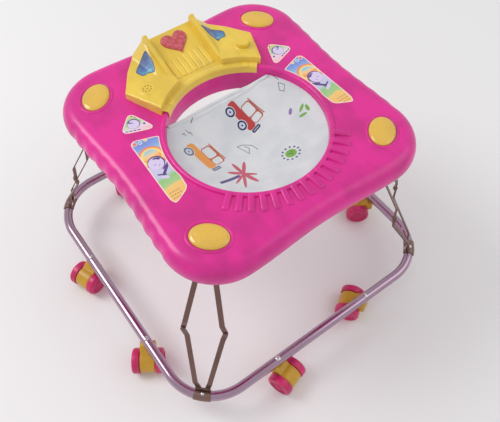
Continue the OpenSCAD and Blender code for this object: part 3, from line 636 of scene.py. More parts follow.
def corner_print():
    """The small film by the console: a disc, dots and a row of dashes."""
    made, shapes = printed("corner_print")
    shapes.colour = made.ramp(
        ((0.0, (246, 186, 190)), (0.3, (236, 214, 236)), (0.5, (196, 214, 180)), (0.75, (168, 208, 150)),
         (1.0, (250, 206, 120))), made.step(shapes.y + made.noise(20.0, 2.0) * 10.0, 46.0, 104.0))
    shapes.disc(149, 71, 11.0, PLUM)
    shapes.disc(149.6, 70.4, 9.8, LILAC)
    shapes.oval(152, 76, 5.0, 2.3, 40, PLUM)
    shapes.oval(150.6, 75.4, 3.2, 1.2, 40, LILAC)
    for x, y, r, c in ((139, 83, 2.2, CORAL_DOT), (143, 88, 1.7, PLUM), (136, 72, 1.8, LEAF),
                       (134, 62, 2.0, PLUM)):
        shapes.disc(x, y, r, c)
    for k in range(4):
        shapes.bar(168 - 6.2 * k, 62.5 - 2.2 * k, 165 - 6.2 * k, 61.3 - 2.2 * k, 2.0, PLUM)
    return bordered(shapes, 1.6, CREAM, 24.0, 0.2)


def build_stickers():
    arc = [(HOLE_C[0] + 145 * math.cos(math.radians(a)), HOLE_C[1] + 145 * math.sin(math.radians(a)))
           for a in range(152, 189, 3)]
    films = ((corner_print(), "corner", [(-143, 98), (-121, 42), (-178, 62)]),
             (side_print(), "panel", [(-182, -106), (-178, -10), (-176, 42)] + arc + [(-146, -88)]))
    first = True
    for material, word, corners in films:
        edge = resampled(rounded(corners, 4), 2.0)
        for side in (1, -1):
            flipped = edge * (side, 1)
            points, faces = patch(flipped, 14, lambda x, y, s: DECK_Z + 0.4 - 0.15 * s ** 12,
                                  lambda x, y, s: DECK_Z + 0.02)
            made = piece(f"{word}_sticker_{'left' if side > 0 else 'right'}", points, faces, material, "tray",
                         ["side_stickers"] if first else (), 40)
            mark_edge(made, flipped)
            first = False


# ---------------------------------------------------------------- base
def build_base(colours):
    chrome = metal("chrome_plate", colours.chrome, 0.13, (1.0, 1.0, 1.0), 0.25, ink(120, 84, 92))
    turns = np.linspace(0, 2 * np.pi, 56, endpoint=False)
    run = BASE_HALF - BEND_R
    centres, outs = [], []
    for s in range(4):
        turn = np.radians(90 * s)
        side = [((BASE_HALF, y), 0.0) for y in np.linspace(-run, run, 12, endpoint=False)]
        bend = [((run + BEND_R * math.cos(a), run + BEND_R * math.sin(a)), a)
                for a in np.linspace(0, math.pi / 2, 30, endpoint=False)]
        for (x, y), a in side + bend:
            centres.append((x * math.cos(turn) - y * math.sin(turn), x * math.sin(turn) + y * math.cos(turn)))
            outs.append(a + turn)
    points = [(cx + math.cos(o) * TUBE_R * math.cos(b), cy + math.sin(o) * TUBE_R * math.cos(b),
               TUBE_Z + TUBE_R * math.sin(b)) for (cx, cy), o in zip(centres, outs) for b in turns]
    piece("base_ring", points, grid_faces(len(centres), len(turns), wrap_rows=True), chrome, "base",
          ["base_tube"])


def castor_matrix(side, place, swivel):
    a = math.radians(90 * side)
    x, y = BASE_HALF, (-1 if side in (1, 2) else 1) * place * CASTOR_PLACE
    pin = Vector((x * math.cos(a) - y * math.sin(a), x * math.sin(a) + y * math.cos(a), 0))
    return Matrix.Translation(pin * MM) @ Matrix.Rotation(math.radians(swivel), 4, "Z")


AXLE_MATRIX = Matrix.Translation((TRAIL * MM, 0, WHEEL_R * MM)) @ Matrix.Rotation(math.pi / 2, 4, "X")


def hood_mesh():
    """One castor hood in its own frame, the pin on the Z axis: its parts fused, with soft edges and its bores."""
    half = HOOD_W / 2
    drum_points, drum_faces = lathe([(0, -half), (HOOD_R - 1.5, -half), (HOOD_R - 0.4, -half + 0.5),
                                     (HOOD_R, -half + 1.6), (HOOD_R, half - 1.6), (HOOD_R - 0.4, half - 0.5),
                                     (HOOD_R - 1.5, half), (0, half)], 96)
    drum = loose("drum", drum_points, drum_faces)
    drum.data.transform(AXLE_MATRIX)
    neck_edge = [(-8, 34), (-8, 50), (-6, 53.5), (-2, 55), (5, 55), (18, 47.2), (24, 45), (24, 25), (5, 27)]
    neck = prism("neck", neck_edge, -half, half)
    neck.data.transform(Matrix.Rotation(math.pi / 2, 4, "X"))
    boss = prism("boss", circle(BOSS_R + 1, 48), 31, HOOD_TOP)
    body = fused("hood", [drum, neck, boss])
    changed(body, [("REMESH", {"mode": "VOXEL", "voxel_size": 0.8 * MM}),
                   ("SMOOTH", {"factor": 0.5, "iterations": 6}), ("DECIMATE", {"ratio": 0.35})])
    axle = prism("axle_bore", circle(AXLE_R + 0.3, 32), -HOOD_W, HOOD_W, AXLE_MATRIX)
    pin = prism("pin_bore", circle(4.3, 32), HOOD_TOP - 22, HOOD_TOP + 2)
    cut(body, [fused("bores", [axle, pin])])
    mesh = body.data
    tidy(mesh)
    bpy.data.objects.remove(body)
    return mesh


def fused(name, parts):
    """Several helper meshes as one object."""
    work = bmesh.new()
    for part in parts:
        work.from_mesh(part.data)
        bpy.data.objects.remove(part)
    mesh = bpy.data.meshes.new(name)
    work.to_mesh(mesh)
    work.free()
    return shown(name, mesh)


def wheel_profile():
    """One castor's pair of wheels and their axle, as (radius, place along the axle)."""
    inner, outer = HOOD_W / 2 + 0.6, HOOD_W / 2 + 0.6 + WHEEL_W
    half = [(AXLE_R, inner - 0.01), (WHEEL_R - 1.5, inner), (WHEEL_R - 0.4, inner + 0.4),
            (WHEEL_R, inner + 1.5), (WHEEL_R, inner + 4.4), (WHEEL_R - 0.35, inner + 4.7),
            (WHEEL_R - 0.35, inner + 5.3), (WHEEL_R, inner + 5.6)]
    half += [(WHEEL_R - 5 + 5 * math.cos(a), outer - 5 + 5 * math.sin(a)) for a in np.linspace(0, math.pi / 2, 9)]
    half += [(18.4, outer), (17.6, outer - 0.5), (16.8, outer - 2.2), (15.6, outer - 2.9), (12.0, outer - 3.0),
             (8.4, outer - 2.9), (7.4, outer - 2.2), (6.6, outer - 0.5), (5.8, outer - 0.05), (2.4, outer),
             (1.8, outer - 0.6), (0.0, outer - 0.7)]
    return [(r, -z) for r, z in reversed(half)] + half


def build_castors(colours):
    yellow = plastic("hood_yellow", colours.hood, 0.36, 0.1, 0.14, 0.2, coat_weight=0.15, coat_roughness=0.2)
    pink = plastic("wheel_pink", colours.wheel, 0.34, 0.1, 0.25, 0.2, coat_weight=0.2, coat_roughness=0.2)
    hood = hood_mesh()
    hood.materials.append(yellow)
    points, faces = lathe(wheel_profile(), 96)
    pair = loose("wheel_pair", points, faces)
    pair.data.transform(AXLE_MATRIX)
    wheels = pair.data
    wheels.materials.append(pink)
    bpy.data.objects.remove(pair)
    for i, castor in enumerate(CASTORS, 1):
        for mesh, name, body, slot_name, node, sharp in (
                (hood, f"hood_{i}", f"castor_{i}", "yellow_hood", f"castor_hood_{i}", 45),
                (wheels, f"wheels_{i}", f"castor_{i}_wheels", "pink_wheel", f"castor_wheels_{i}", 40)):
            dress(shown(name, mesh), None, body, [node], sharp, castor_matrix(*castor))


def build_metal(colours):
    """Finishes for the small metal pieces, whose shapes stay as they are."""
    strip = metal("strip_steel", colours.strip, 0.34, (1.0, 1.0, 0.15), 0.55, ink(60, 34, 28))
    dark = metal("bracket_steel", colours.bracket, 0.38, (1.0, 1.0, 1.0), 0.4, ink(54, 36, 32))
    bright = metal("bright_steel", ink(214, 208, 212), 0.2, (1.0, 1.0, 1.0), 0.3, ink(120, 96, 90))
    finishes = dict.fromkeys(("tray_brackets", "corner_bolts", "base_pivot_pins", "castor_pins", "bracket_screws",
                              "tray_pivot_pins", "console_screws", "button_spring"), bright)
    finishes["corner_brackets"] = dark
    for corner in (1, 2, 3, 4):
        for hand in "ab":
            finishes[f"lower_strip_{corner}{hand}"] = strip
            finishes[f"upper_strip_{corner}{hand}"] = strip
    cover(finishes)


def cover(finishes):
    """Puts a finish on each carried-over node."""
    for name, material in finishes.items():
        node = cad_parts[name]
        node.data.materials.clear()
        node.data.materials.append(material)


# ---------------------------------------------------------------- console
LENS_Y, LENS_R, LENS_TILT = 170.5, 24.5, math.radians(17)
GRILLE, BUTTON, BUTTON_WELL_R = (-96, 112), (96, 104), 11.3
CONSOLE_PLAN = [(48.0, 199.0), (76.0, 197.0), (102.0, 169.0), (130.0, 127.0)]
FRONT_R, HOOK_R = 143.0, 138.5


def console_outline():
    """The console's plan, its front following the seat ring."""
    end = math.atan2(63 - HOLE_C[1], 101.6)
    front = [(FRONT_R * math.cos(a), FRONT_R * math.sin(a) + HOLE_C[1])
             for a in np.linspace(end, math.pi - end, 49)]
    return np.array(CONSOLE_PLAN + front + [(-x, y) for x, y in reversed(CONSOLE_PLAN)])


def smooth_max(a, b, k):
    h = np.clip(0.5 + 0.5 * (a - b) / k, 0, 1)
    return b * (1 - h) + a * h + k * h * (1 - h)


def wing_height(x, y):
    x = np.abs(x)
    low = 16 - 0.05 * (x - 100) - 0.05 * (y - 100)
    rise = -smooth_max(-(40 - 0.86 * (x - 48) + 0.1 * (y - 199)), -(40 + 0.32 * (y - 199)), 2.0)
    return smooth_max(low, rise, 2.4)


def bay_height(x, y, sizes):
    """The sunk middle: a ramp with seven rounded steps, and the steeper seat of the lens."""
    floor = smooth_max(8 + 8 / 38 * (y - 108), 22.7 + math.tan(LENS_TILT) * (y - 168), 1.0)
    pitch = 2 * 39 / 7
    near = (x + 3.5 * pitch) % pitch - pitch / 2
    across = np.clip(1 - np.abs(near / (pitch * 0.47)) ** 3.2, 0, 1) ** 0.5
    along = np.clip((y - 107.0) / 1.2, 0, 1) * np.clip((147.0 - y) / 1.2, 0, 1)
    return floor + sizes.step_height / MM * across * np.sqrt(along) * (np.abs(x) < 39)


def console_height(x, y, sizes):
    """Height of the console's skin above the deck, before its outer edge is rounded."""
    u = np.abs(np.abs(x) - 48) / 4
    crest = np.interp(y, [90, 189, 191.5, 193, 194.5, 197, 200], [12, 45.8, 47.4, 47.8, 47.4, 44.6, 39])
    fin = crest - 2.4 * (1 - np.sqrt(np.clip(1 - np.clip((u - 0.4) / 0.6, 0, 1) ** 2, 0, 1)))
    wing = wing_height(x, y)
    r = np.hypot(x - GRILLE[0], y - GRILLE[1])
    wing = wing + 0.9 * np.clip((15.0 - r) / 2.0, 0, 1) ** 0.5 * (x < 0)
    r = np.hypot(x - BUTTON[0], y - BUTTON[1])
    wing = wing + 1.6 * np.clip((15.2 - r) / 1.5, 0, 1) ** 0.5 * (x > 0)
    return np.where(np.abs(x) < 44, bay_height(x, y, sizes), np.where(u <= 1, np.maximum(fin, wing), wing))


def build_console(colours, sizes):
    yellow = plastic("console_yellow", colours.console, 0.3, 0.1, 0.16, 0.3, coat_weight=0.35, coat_roughness=0.12,
                     subsurface_weight=0.08, subsurface_scale=0.004)
    half = np.concatenate([np.linspace(0.25, 43.9, 84), np.linspace(44.05, 51.9, 15), np.linspace(52.1, 81, 22),
                           np.linspace(81.5, 111, 42), np.linspace(112, 129.9, 15)])
    columns = np.concatenate([-half[::-1], half])
    outline = console_outline()
    steps = np.concatenate([np.linspace(60, 106.6, 40), [107.2, 107.8, 108.4, 109.0], np.linspace(110, 145, 36),
                            [145.6, 146.2, 146.8, 147.4], np.linspace(148.5, 198, 32)])
    near = np.array([0.0, 0.12, 0.35, 0.7, 1.2, 1.9, 2.8])
    ax = np.abs(columns)
    back = np.interp(ax, [0, 48, 76, 102, 130], [199, 199, 197, 169, 127])
    front = np.where(ax < 101.6, HOLE_C[1] + np.sqrt(np.maximum(FRONT_R ** 2 - ax ** 2, 0)),
                     np.interp(ax, [101.6, 130], [58.6, 127]))
    room = np.minimum(1.0, (back - front) / 2 / near[-1] * 0.98)[:, None]
    rows = np.hstack([front[:, None] + near * room,
                      np.clip(steps[None, :], front[:, None] + near[-1] * room, back[:, None] - near[-1] * room),
                      back[:, None] - near[::-1] * room])
    x = np.broadcast_to(columns[:, None], rows.shape)
    inside = away_from(outline, x, rows)
    radius = sizes.edge / MM
    drop = radius - np.sqrt(np.clip(radius ** 2 - np.clip(radius - inside, 0, radius) ** 2, 0, None))
    top = console_height(x, rows, sizes)
    low = np.minimum.reduce([console_height(x + dx, rows + dy, sizes)
                             for dx, dy in ((0, 0), (2.4, 0), (-2.4, 0), (0, 2.4), (0, -2.4))])
    under = np.where(inside > 2.5, np.maximum(low - 2.4, 0.0), 0.0)
    n, m = rows.shape
    points = np.concatenate([np.stack([x, rows, DECK_Z + top - drop], axis=-1).reshape(-1, 3),
                             np.stack([x, rows, DECK_Z + under], axis=-1).reshape(-1, 3)])
    faces = grid_faces(n, m, 0, wrap_columns=False)
    faces += grid_faces(n, m, n * m, wrap_columns=False, flip=True)
    sides = [(j * m + i, (j + 1) * m + i) for j in range(n - 1) for i in (0, m - 1)]
    sides += [(j * m + i, j * m + i + 1) for i in range(m - 1) for j in (0, n - 1)]
    faces += [(a, b, b + n * m, a + n * m) for a, b in sides]
    console = loose("console_body", points, faces)
    gx, gy = GRILLE
    spots = [GRILLE] + [(gx + 7 * math.cos(a), gy + 7 * math.sin(a)) for a in np.radians(np.arange(0, 360, 45))]
    holes = [prism("grille_hole", circle(1.3, 20, *spot), DECK_Z + 5, DECK_Z + 30) for spot in spots]
    holes.append(prism("button_well", circle(BUTTON_WELL_R, 64, *BUTTON), DECK_Z - 5, DECK_Z + 40))
    holes.append(prism("lens_well", heart(LENS_R + 0.4), -12, 12, lens_matrix()))
    cut(console, [fused("wells", holes)])
    dress(console, yellow, "tray", ["console_shell"], 34)
    build_apron(yellow)


def build_apron(yellow):
    """The console's thin front edge, that hangs over the seat ring, and its two hooks."""
    section = [(143.6, 4.6), (143.6, 6.4), (136.4, 6.4), (134.4, 5.9), (132.8, 4.5), (132.0, 2.4), (131.7, -8.0),
               (132.4, -8.6), (133.4, -8.4), (133.6, 2.6), (134.5, 4.4), (136.2, 4.7)]
    points = [(r * math.cos(a), HOLE_C[1] + r * math.sin(a), DECK_Z + z)
              for a in np.radians(np.linspace(47, 133, 73)) for r, z in section]
    m = len(section)
    faces = grid_faces(73, m) + [tuple(range(m))[::-1], tuple(range(72 * m, 73 * m))]
    piece("console_apron", points, faces, yellow, "tray", sharp=50)
    for k, side in enumerate((1, -1)):
        a = math.radians(90 - 34 * side)
        place = Vector((HOOK_R * math.cos(a), HOLE_C[1] + HOOK_R * math.sin(a), 0))
        hook = prism("hook", [(-7.5, -6), (7.5, -6), (7.5, 6), (-7.5, 6)], DECK_Z + 4.3, DECK_Z + 7.3,
                     Matrix.Translation(place * MM) @ Matrix.Rotation(a, 4, "Z"))
        changed(hook, [("BEVEL", {"width": 1.0 * MM, "segments": 3})])
        hook.name = f"console_hook_{k + 1}"
        dress(hook, yellow, "tray", (), 40)


def heart(r, n=96):
    """A rounded heart, 2 r wide, with its point towards the child."""
    return [(r * math.sin(a) ** 3,
             r / 16 * (13 * math.cos(a) - 5 * math.cos(2 * a) - 2 * math.cos(3 * a) - math.cos(4 * a) + 2))
            for a in np.linspace(0, 2 * math.pi, n, endpoint=False)]


def lens_matrix():
    z = 16 + (LENS_Y - 146) * math.tan(LENS_TILT)
    return Matrix.Translation((0, LENS_Y * MM, (DECK_Z + z) * MM)) @ Matrix.Rotation(LENS_TILT, 4, "X")


def build_lens(colours):
    coral = Finish("lens_coral", roughness=0.14, transmission_weight=0.25, ior=1.49, coat_weight=0.6)
    cells = coral.node("ShaderNodeTexVoronoi", {"feature": "F1"}, {"Vector": coral.place(), "Scale": 150.0})
    coral.feed("Base Color", coral.mix(coral.step(cells, 0.2, 0.8), colours.lens, tuple(
        c * k for c, k in zip(colours.lens[:3], (0.75, 0.5, 0.5))) + (1.0,)))
    coral.bump(cells, 0.9)
    edge = resampled(np.array(heart(LENS_R)), 0.8)
    middle = edge.mean(axis=0)

    def top(x, y, s):
        a = np.arctan2(y - middle[1], x - middle[0])
        return 1.2 + 2.0 * (1 - s ** 5) ** 0.5 + 0.35 * np.abs(np.sin(7 * a)) * s * (1 - s ** 3)

    points, faces = patch(edge, 22, top, lambda x, y, s: -2.4)
    piece("heart_cover", points, faces, coral.material, "tray", ["heart_lens"], 50, lens_matrix())


def build_button():
    """The round button, of the console's own plastic."""
    profile = [(0, 5.5), (9.0, 5.5), (10.9, 5.6), (11.0, 6.0), (11.0, 24.0)]
    profile += [(9.0 + 2.0 * math.cos(a), 24.2 + 2.0 * math.sin(a)) for a in np.linspace(0.1, 1.35, 7)]
    profile += [(8.4, 26.35), (7.6, 26.2), (7.0, 26.0), (5.0, 26.3), (2.5, 26.6), (0, 26.7)]
    points, faces = lathe(profile, 72)
    piece("press_button", points, faces, bpy.data.materials["console_yellow"], "push_button",
          ["push_button"], 40, Matrix.Translation(Vector((*BUTTON, DECK_Z)) * MM))


def build_windows():
    """The dark films on the console's wings, like the windows of a little house."""
    made, shapes = printed("window_print", 0.42, 0.12)
    shapes.colour = made.ramp(
        ((0.0, (58, 86, 122)), (0.35, (92, 150, 184)), (0.65, (84, 116, 172)), (1.0, (66, 72, 116))),
        made.step(shapes.y * 0.7 + made.noise(12.0, 2.0) * 30.0, 100.0, 142.0))
    shapes.oval(71, 146, 5.0, 3.0, 20, ink(112, 172, 200))
    shapes.oval(76, 142, 4.0, 2.4, 30, ink(126, 186, 208))
    material = bordered(shapes, 0.9, ink(44, 50, 78), 10.0, 0.3)
    plan = rounded([(56, 181), (76, 173), (92, 158), (86, 142), (74, 143), (65, 135), (58.5, 152)], 3)
    first = True
    for side, word in ((1, "right"), (-1, "left")):
        edge = resampled(plan, 1.2) * (side, 1)
        points, faces = patch(edge, 16, lambda x, y, s: DECK_Z + wing_height(x, y) + 0.45 - 0.2 * s ** 10,
                              lambda x, y, s: DECK_Z + wing_height(x, y) - 0.2)
        film = piece(f"window_{word}", points, faces, material, "tray",
                     ["window_stickers"] if first else (), 50)
        mark_edge(film, edge)
        first = False


def build_inner_parts():
    """Finishes for what the console and the tray hold, whose shapes stay as they are."""
    black = plastic("speaker_black", ink(32, 32, 34), 0.5, 0.1)
    green = plastic("board_green", ink(30, 96, 52), 0.4, 0.05)
    jacket = plastic("cell_jacket", ink(40, 44, 70), 0.35, 0.05)
    white = plastic("stud_white", ink(236, 234, 232), 0.35, 0.05)
    red = plastic("lamp_red", ink(214, 48, 40), 0.2, 0.02)
    cover({"speaker": black, "circuit_board": green, "battery_cells": jacket, "seat_studs": white, "lamp": red,
           **dict.fromkeys(("battery_box", "battery_door"), bpy.data.materials["console_yellow"])})


# ---------------------------------------------------------------- seat
CLOTH_R, RIM_Z, SAG, HEM_Y, HEM_BOW = HOLE_R - SEAT_GAP, DECK_Z - 10.0, 46.0, 84.0, 12.0
HEM_HALF = math.sqrt(CLOTH_R ** 2 - HEM_Y ** 2)
SEAT_MID = np.array([0.0, -14.0])
SETTLE_FRAMES, SETTLE_LIMIT = 30, 6.0


def cloth_height(x, y):
    """The sling's height at rest, with x and y from the hole's centre."""
    r = np.hypot(x, y) / CLOTH_R
    front = np.clip((y + 20) / (HEM_Y + 20), 0, 1)
    return RIM_Z - SAG * (1 - np.minimum(1, r * r)) * (1 - 0.72 * front * front)


def seat_points(rings, arc, hem):
    """Rings of points from the sling's edge to its middle, and how many make one ring."""
    hem_a = math.atan2(HEM_Y, HEM_HALF)
    a = math.pi - hem_a + (math.pi + 2 * hem_a) * np.linspace(0, 1, arc + 1)
    edge = np.stack([CLOTH_R * np.cos(a), CLOTH_R * np.sin(a)], axis=1)
    t = np.arange(1, hem) / hem
    edge = np.vstack([edge, np.stack([HEM_HALF * (1 - 2 * t), HEM_Y + HEM_BOW * (1 - (1 - 2 * t) ** 2)], axis=1)])
    found = []
    for j in range(rings, 0, -1):
        p = SEAT_MID + (edge - SEAT_MID) * (j / rings)
        found.append(np.column_stack([p + HOLE_C, cloth_height(p[:, 0], p[:, 1])]))
    middle = np.append(SEAT_MID + HOLE_C, cloth_height(*SEAT_MID))
    return np.vstack(found + [middle[None, :]]), len(edge)


def build_seat(colours, sizes):
    rings, arc, hem = 46, 150, 60
    points, n = seat_points(rings, arc, hem)
    faces = grid_faces(rings, n)
    faces += [((rings - 1) * n + i, (rings - 1) * n + (i + 1) % n, rings * n) for i in range(n)]
    sling = meshed("seat_sling", points, faces)
    settle(sling, arc, points)
    shape = np.array([v.co for v in sling.data.vertices]) / MM
    material = cloth_finish(colours)
    hem_line = np.vstack([shape[arc:arc + hem], shape[:1]])
    changed(sling, [("SOLIDIFY", {"thickness": 1.4 * MM, "offset": -1.0}), ("SUBSURF", {"levels": 1})])
    dress(sling, material, "tray", ["seat_cloth"])
    band = hem_band(hem_line, material, sizes)


def settle(sling, arc, before):
    """Lets the sling hang from the seat ring under its own weight, and keeps the result."""
    pinned = sling.vertex_groups.new(name="rim")
    pinned.add(list(range(arc + 1)), 1.0, "REPLACE")
    cloth = sling.modifiers.new("hang", "CLOTH")
    for key, value in (("vertex_group_mass", "rim"), ("quality", 6), ("mass", 0.15), ("tension_stiffness", 25),
                       ("compression_stiffness", 12), ("shear_stiffness", 6), ("bending_stiffness", 0.4),
                       ("shrink_min", -0.006)):
        setattr(cloth.settings, key, value)
    cloth.collision_settings.use_collision = False
    cloth.collision_settings.use_self_collision = False
    scene = bpy.context.scene
    for f in range(1, SETTLE_FRAMES + 1):
        scene.frame_set(f)
    after = baked(sling)
    scene.frame_set(1)
    moved = np.array([v.co for v in after.vertices]) / MM - before
    far = np.linalg.norm(moved, axis=1, keepdims=True)
    moved *= np.minimum(1.0, SETTLE_LIMIT / np.maximum(far, 1e-6))
    sling.data.vertices.foreach_set("co", ((before + moved) * MM).astype(np.float32).ravel())
    sling.data.update()


def hem_band(line, material, sizes):
    """The bound edge along the front of the sling."""
    half = sizes.hem_width / MM / 2
    points = []
    for k, p in enumerate(line):
        ahead = line[min(k + 1, len(line) - 1)] - line[max(k - 1, 0)]
        ahead /= np.linalg.norm(ahead)
        across = np.cross(ahead, (0.0, 0.0, 1.0))
        across /= np.linalg.norm(across)
        rise = np.cross(across, ahead)
        for a in np.linspace(0, 2 * np.pi, 16, endpoint=False):
            wide = half * math.copysign(abs(math.cos(a)) ** 0.6, math.cos(a))
            thick = 1.7 * math.copysign(abs(math.sin(a)) ** 0.7, math.sin(a))
            points.append(p + across * (wide - half + 0.8) + rise * thick - (0, 0, 0.7))
    faces = grid_faces(len(line), 16)
    faces += [tuple(range(16)), tuple(range(16 * (len(line) - 1), 16 * len(line)))[::-1]]
    return piece("seat_hem", points, faces, material, "tray")


def cloth_finish(colours):
    """White printed cotton: plain weave, faint creases, and simple beach and road motifs."""
    made = Finish("printed_cotton", roughness=0.85, sheen_weight=0.25, sheen_roughness=0.5)
    x, y, _ = made.flat()
    shapes = Print(made, x, y, colours.cloth)
    tone = made.step(made.noise(45.0, 2.0), 0.3, 0.7)
    shapes.colour = made.mix(tone * 0.5, colours.cloth, ink(196, 204, 212))
    draw_motifs(shapes)
    made.feed("Base Color", shapes.colour)
    weave = made.maths("SINE", x * 9.0) * made.maths("SINE", y * 9.0)
    made.bump(weave * 0.12 + made.noise(18.0, 4.0, 0.6) * 0.9, 0.7)
    return made.material


def draw_car(shapes, x, y, turn, body, trim, wheel, rear_wheel=True):
    """A little car seen from the side, with its front wheel at x, y and its length along turn."""
    car = shapes.turned(x, y, turn)
    pane = ink(222, 227, 230)
    car.block(25, 29.5, 19, 11.5, 0, trim, 6.0)
    car.block(18, 28.5, 10.2, 9.0, 0, pane, 4.0)
    car.block(36.5, 28.5, 6.0, 9.0, 0, pane, 4.0)
    car.block(17, 10.5, 28, 8.0, 0, body, 5.0)
    car.bar(5, 41, 41, 43, 2.0, trim)
    car.block(49, 13, 3.4, 9.0, 0, wheel, 2.6)
    car.block(49, 13, 1.0, 6.4, 0, ink(176, 178, 204), 0.8)
    for place in (0, 27.7) if rear_wheel else (0,):
        car.disc(place, 0, 9.6, pane)
        car.disc(place, 0, 8.4, wheel)
        car.disc(place, 0, 5.4, ink(206, 214, 234))
        car.disc(place, 0, 1.7, wheel)
    shapes.colour = car.colour


def draw_motifs(shapes):
    """Two cars, a palm, a surfboard, a sun and little waves."""
    red, navy, slate = ink(190, 62, 66), ink(46, 44, 92), ink(110, 122, 138)
    amber, rust, rose = ink(238, 158, 78), ink(196, 96, 60), ink(200, 88, 108)
    plum, leaf = ink(88, 70, 134), ink(122, 178, 70)
    draw_car(shapes, 11.1, 25.0, -77, red, ink(182, 96, 84), navy)
    draw_car(shapes, -97.0, -11.0, -77, amber, rust, slate, False)
    shapes.bar(-88, -92, -52, -88.5, 6.4, plum)
    for x, y, w in ((-62, -72, 3.6), (-43, -57, 3.4), (-23, -63, 3.2), (-35, -119, 4.2), (-24, -101, 3.0),
                    (-62, -122, 2.8), (-68, -104, 2.4)):
        turn = math.degrees(math.atan2(y + 87, x + 41))
        shapes.oval((x - 41) / 2, (y - 87) / 2, math.hypot(x + 41, y + 87) / 2 + 1, w, turn, rose)
    shapes.disc(45.7, -102.4, 9.4, leaf)
    for k in range(12):
        a = math.radians(30 * k)
        shapes.disc(45.7 + 14.6 * math.cos(a), -102.4 + 14.6 * math.sin(a), 1.9, ink(58, 84, 120))
    for x, y in ((43.5, -101), (48, -100.5), (46, -105)):
        shapes.disc(x, y, 1.2, navy)
    shapes.disc(-41, -87, 4.0, rose)
    for ax, ay, bx, by in ((-13.5, -29.4, -2, -31.1), (-2, -31.1, 9.9, -40), (9.9, -40, 13.4, -53.8),
                           (-13.5, -29.4, -6.6, -43.5), (-6.6, -43.5, -4, -52.3), (-4, -52.3, 3, -42),
                           (3, -42, -2, -35), (107.7, 43.6, 113.2, 22.2), (109.9, 17.8, 104, 6), (104, 6, 109, -1),
                           (109, -1, 116, 8), (116, 8, 110, 17.8)):
        shapes.bar(ax, ay, bx, by, 1.2, slate)
    for ax, ay, bx, by in ((-77.6, 27, -76, 21), (-76, 21, -73, 22), (-73, 22, -72.2, 16.3), (-88, 22, -84, 23),
                           (-84, 23, -84, 18), (-62, 36, -54, 42)):
        shapes.bar(ax, ay, bx, by, 1.3, ink(120, 100, 110))
    for x, y, turn in ((112, -46, 30), (118, -54, 80), (106, -58, -20)):
        shapes.oval(x, y, 7.0, 2.6, turn, leaf)
    shapes.oval(96, -36, 6.0, 3.0, 50, ink(150, 120, 180))


# ---------------------------------------------------------------- stage
FLOOR_HALF, ROOM_LIGHT = 30000.0, 0.66
VIEW_AZIMUTH, VIEW_HEIGHT, VIEW_ROLL = math.radians(-36.82), math.radians(56.44), math.radians(0.59)
VIEW_TARGET, VIEW_DISTANCE, VIEW_LENS = (0.0017, -0.0481, 0.184), 1.1992, 43.884


def build_stage():
    far = FLOOR_HALF
    floor = loose("floor", [(-far, -far, 0), (far, -far, 0), (far, far, 0), (-far, far, 0)], [(0, 1, 2, 3)])
    pale = Finish("pale_floor", roughness=0.6)
    pale.feed("Base Color", pale.mix(pale.noise(400.0, 2.0) * 0.3, ink(243, 242, 242), ink(236, 235, 236)))
    floor.data.materials.append(pale.material)
    world = bpy.data.worlds.new("studio")
    bpy.context.scene.world = world
    world.use_nodes = True
    back = next(n for n in world.node_tree.nodes if n.type == "BACKGROUND")
    back.inputs[0].default_value = (1.0, 1.0, 1.0, 1.0)
    back.inputs[1].default_value = ROOM_LIGHT
    for name, place, size, power, target in (
            ("window_light", (-1.6, 1.5, 2.6), 1.6, 38.0, (0, 0, 0.35)),
            ("fill_light", (1.8, -1.4, 2.2), 2.2, 10.0, (0, 0, 0.3))):
        lamp = bpy.data.lights.new(name, "AREA")
        lamp.shape, lamp.size, lamp.energy = "DISK", size, power
        made = shown(name, lamp)
        made.location = place
        made.rotation_euler = (Vector(target) - Vector(place)).to_track_quat("-Z", "Y").to_euler()
    bpy.context.scene.view_settings.view_transform = "Standard"
    build_camera()


def build_camera():
    az, el, roll = VIEW_AZIMUTH, VIEW_HEIGHT, VIEW_ROLL
    back = Vector((math.sin(az) * math.cos(el), -math.cos(az) * math.cos(el), math.sin(el)))
    right = Vector((math.cos(az), math.sin(az), 0))
    up = back.cross(right)
    x_axis = right * math.cos(roll) + up * math.sin(roll)
    y_axis = up * math.cos(roll) - right * math.sin(roll)
    lens = bpy.data.cameras.new("camera")
    lens.sensor_width = 36.0
    lens.lens = VIEW_LENS
    camera = shown("camera", lens)
    matrix = Matrix((x_axis, y_axis, back)).transposed().to_4x4()
    matrix.translation = Vector(VIEW_TARGET) + back * VIEW_DISTANCE
    camera.matrix_world = matrix
    bpy.context.scene.camera = camera


# ---------------------------------------------------------------- add-on
def colour_property(name, description, default):
    return FloatVectorProperty(name=name, description=description, default=default, subtype="COLOR", size=4,
                               min=0.0, max=1.0)


def size_property(name, description, default, low, high):
    """A length, given here in millimetres."""
    return FloatProperty(name=name, description=description, default=default * MM, min=low * MM, max=high * MM,
                         subtype="DISTANCE", precision=4)


class WalkerColours(bpy.types.PropertyGroup):
    """The colours of the walker's pieces."""

    moulding: colour_property("Tray", "Colour of the tray moulding", ink(230, 28, 150))
    cap: colour_property("Corner caps", "Colour of the four corner caps", ink(232, 186, 72))
    console: colour_property("Console", "Colour of the console and its button", ink(242, 206, 74))
    hood: colour_property("Castor hoods", "Colour of the castor hoods", ink(208, 158, 34))
    wheel: colour_property("Wheels", "Colour of the castor wheels", ink(214, 20, 104))
    lens: colour_property("Lens", "Colour of the heart lens", ink(236, 108, 122))
    cloth: colour_property("Cloth", "Ground colour of the seat cloth", ink(226, 229, 232))
    chrome: colour_property("Chrome", "Tint of the base ring's plating", ink(178, 152, 172))
    strip: colour_property("Leg strips", "Colour of the leg strips", ink(126, 98, 92))
    bracket: colour_property("Brackets", "Colour of the corner brackets", ink(140, 112, 106))


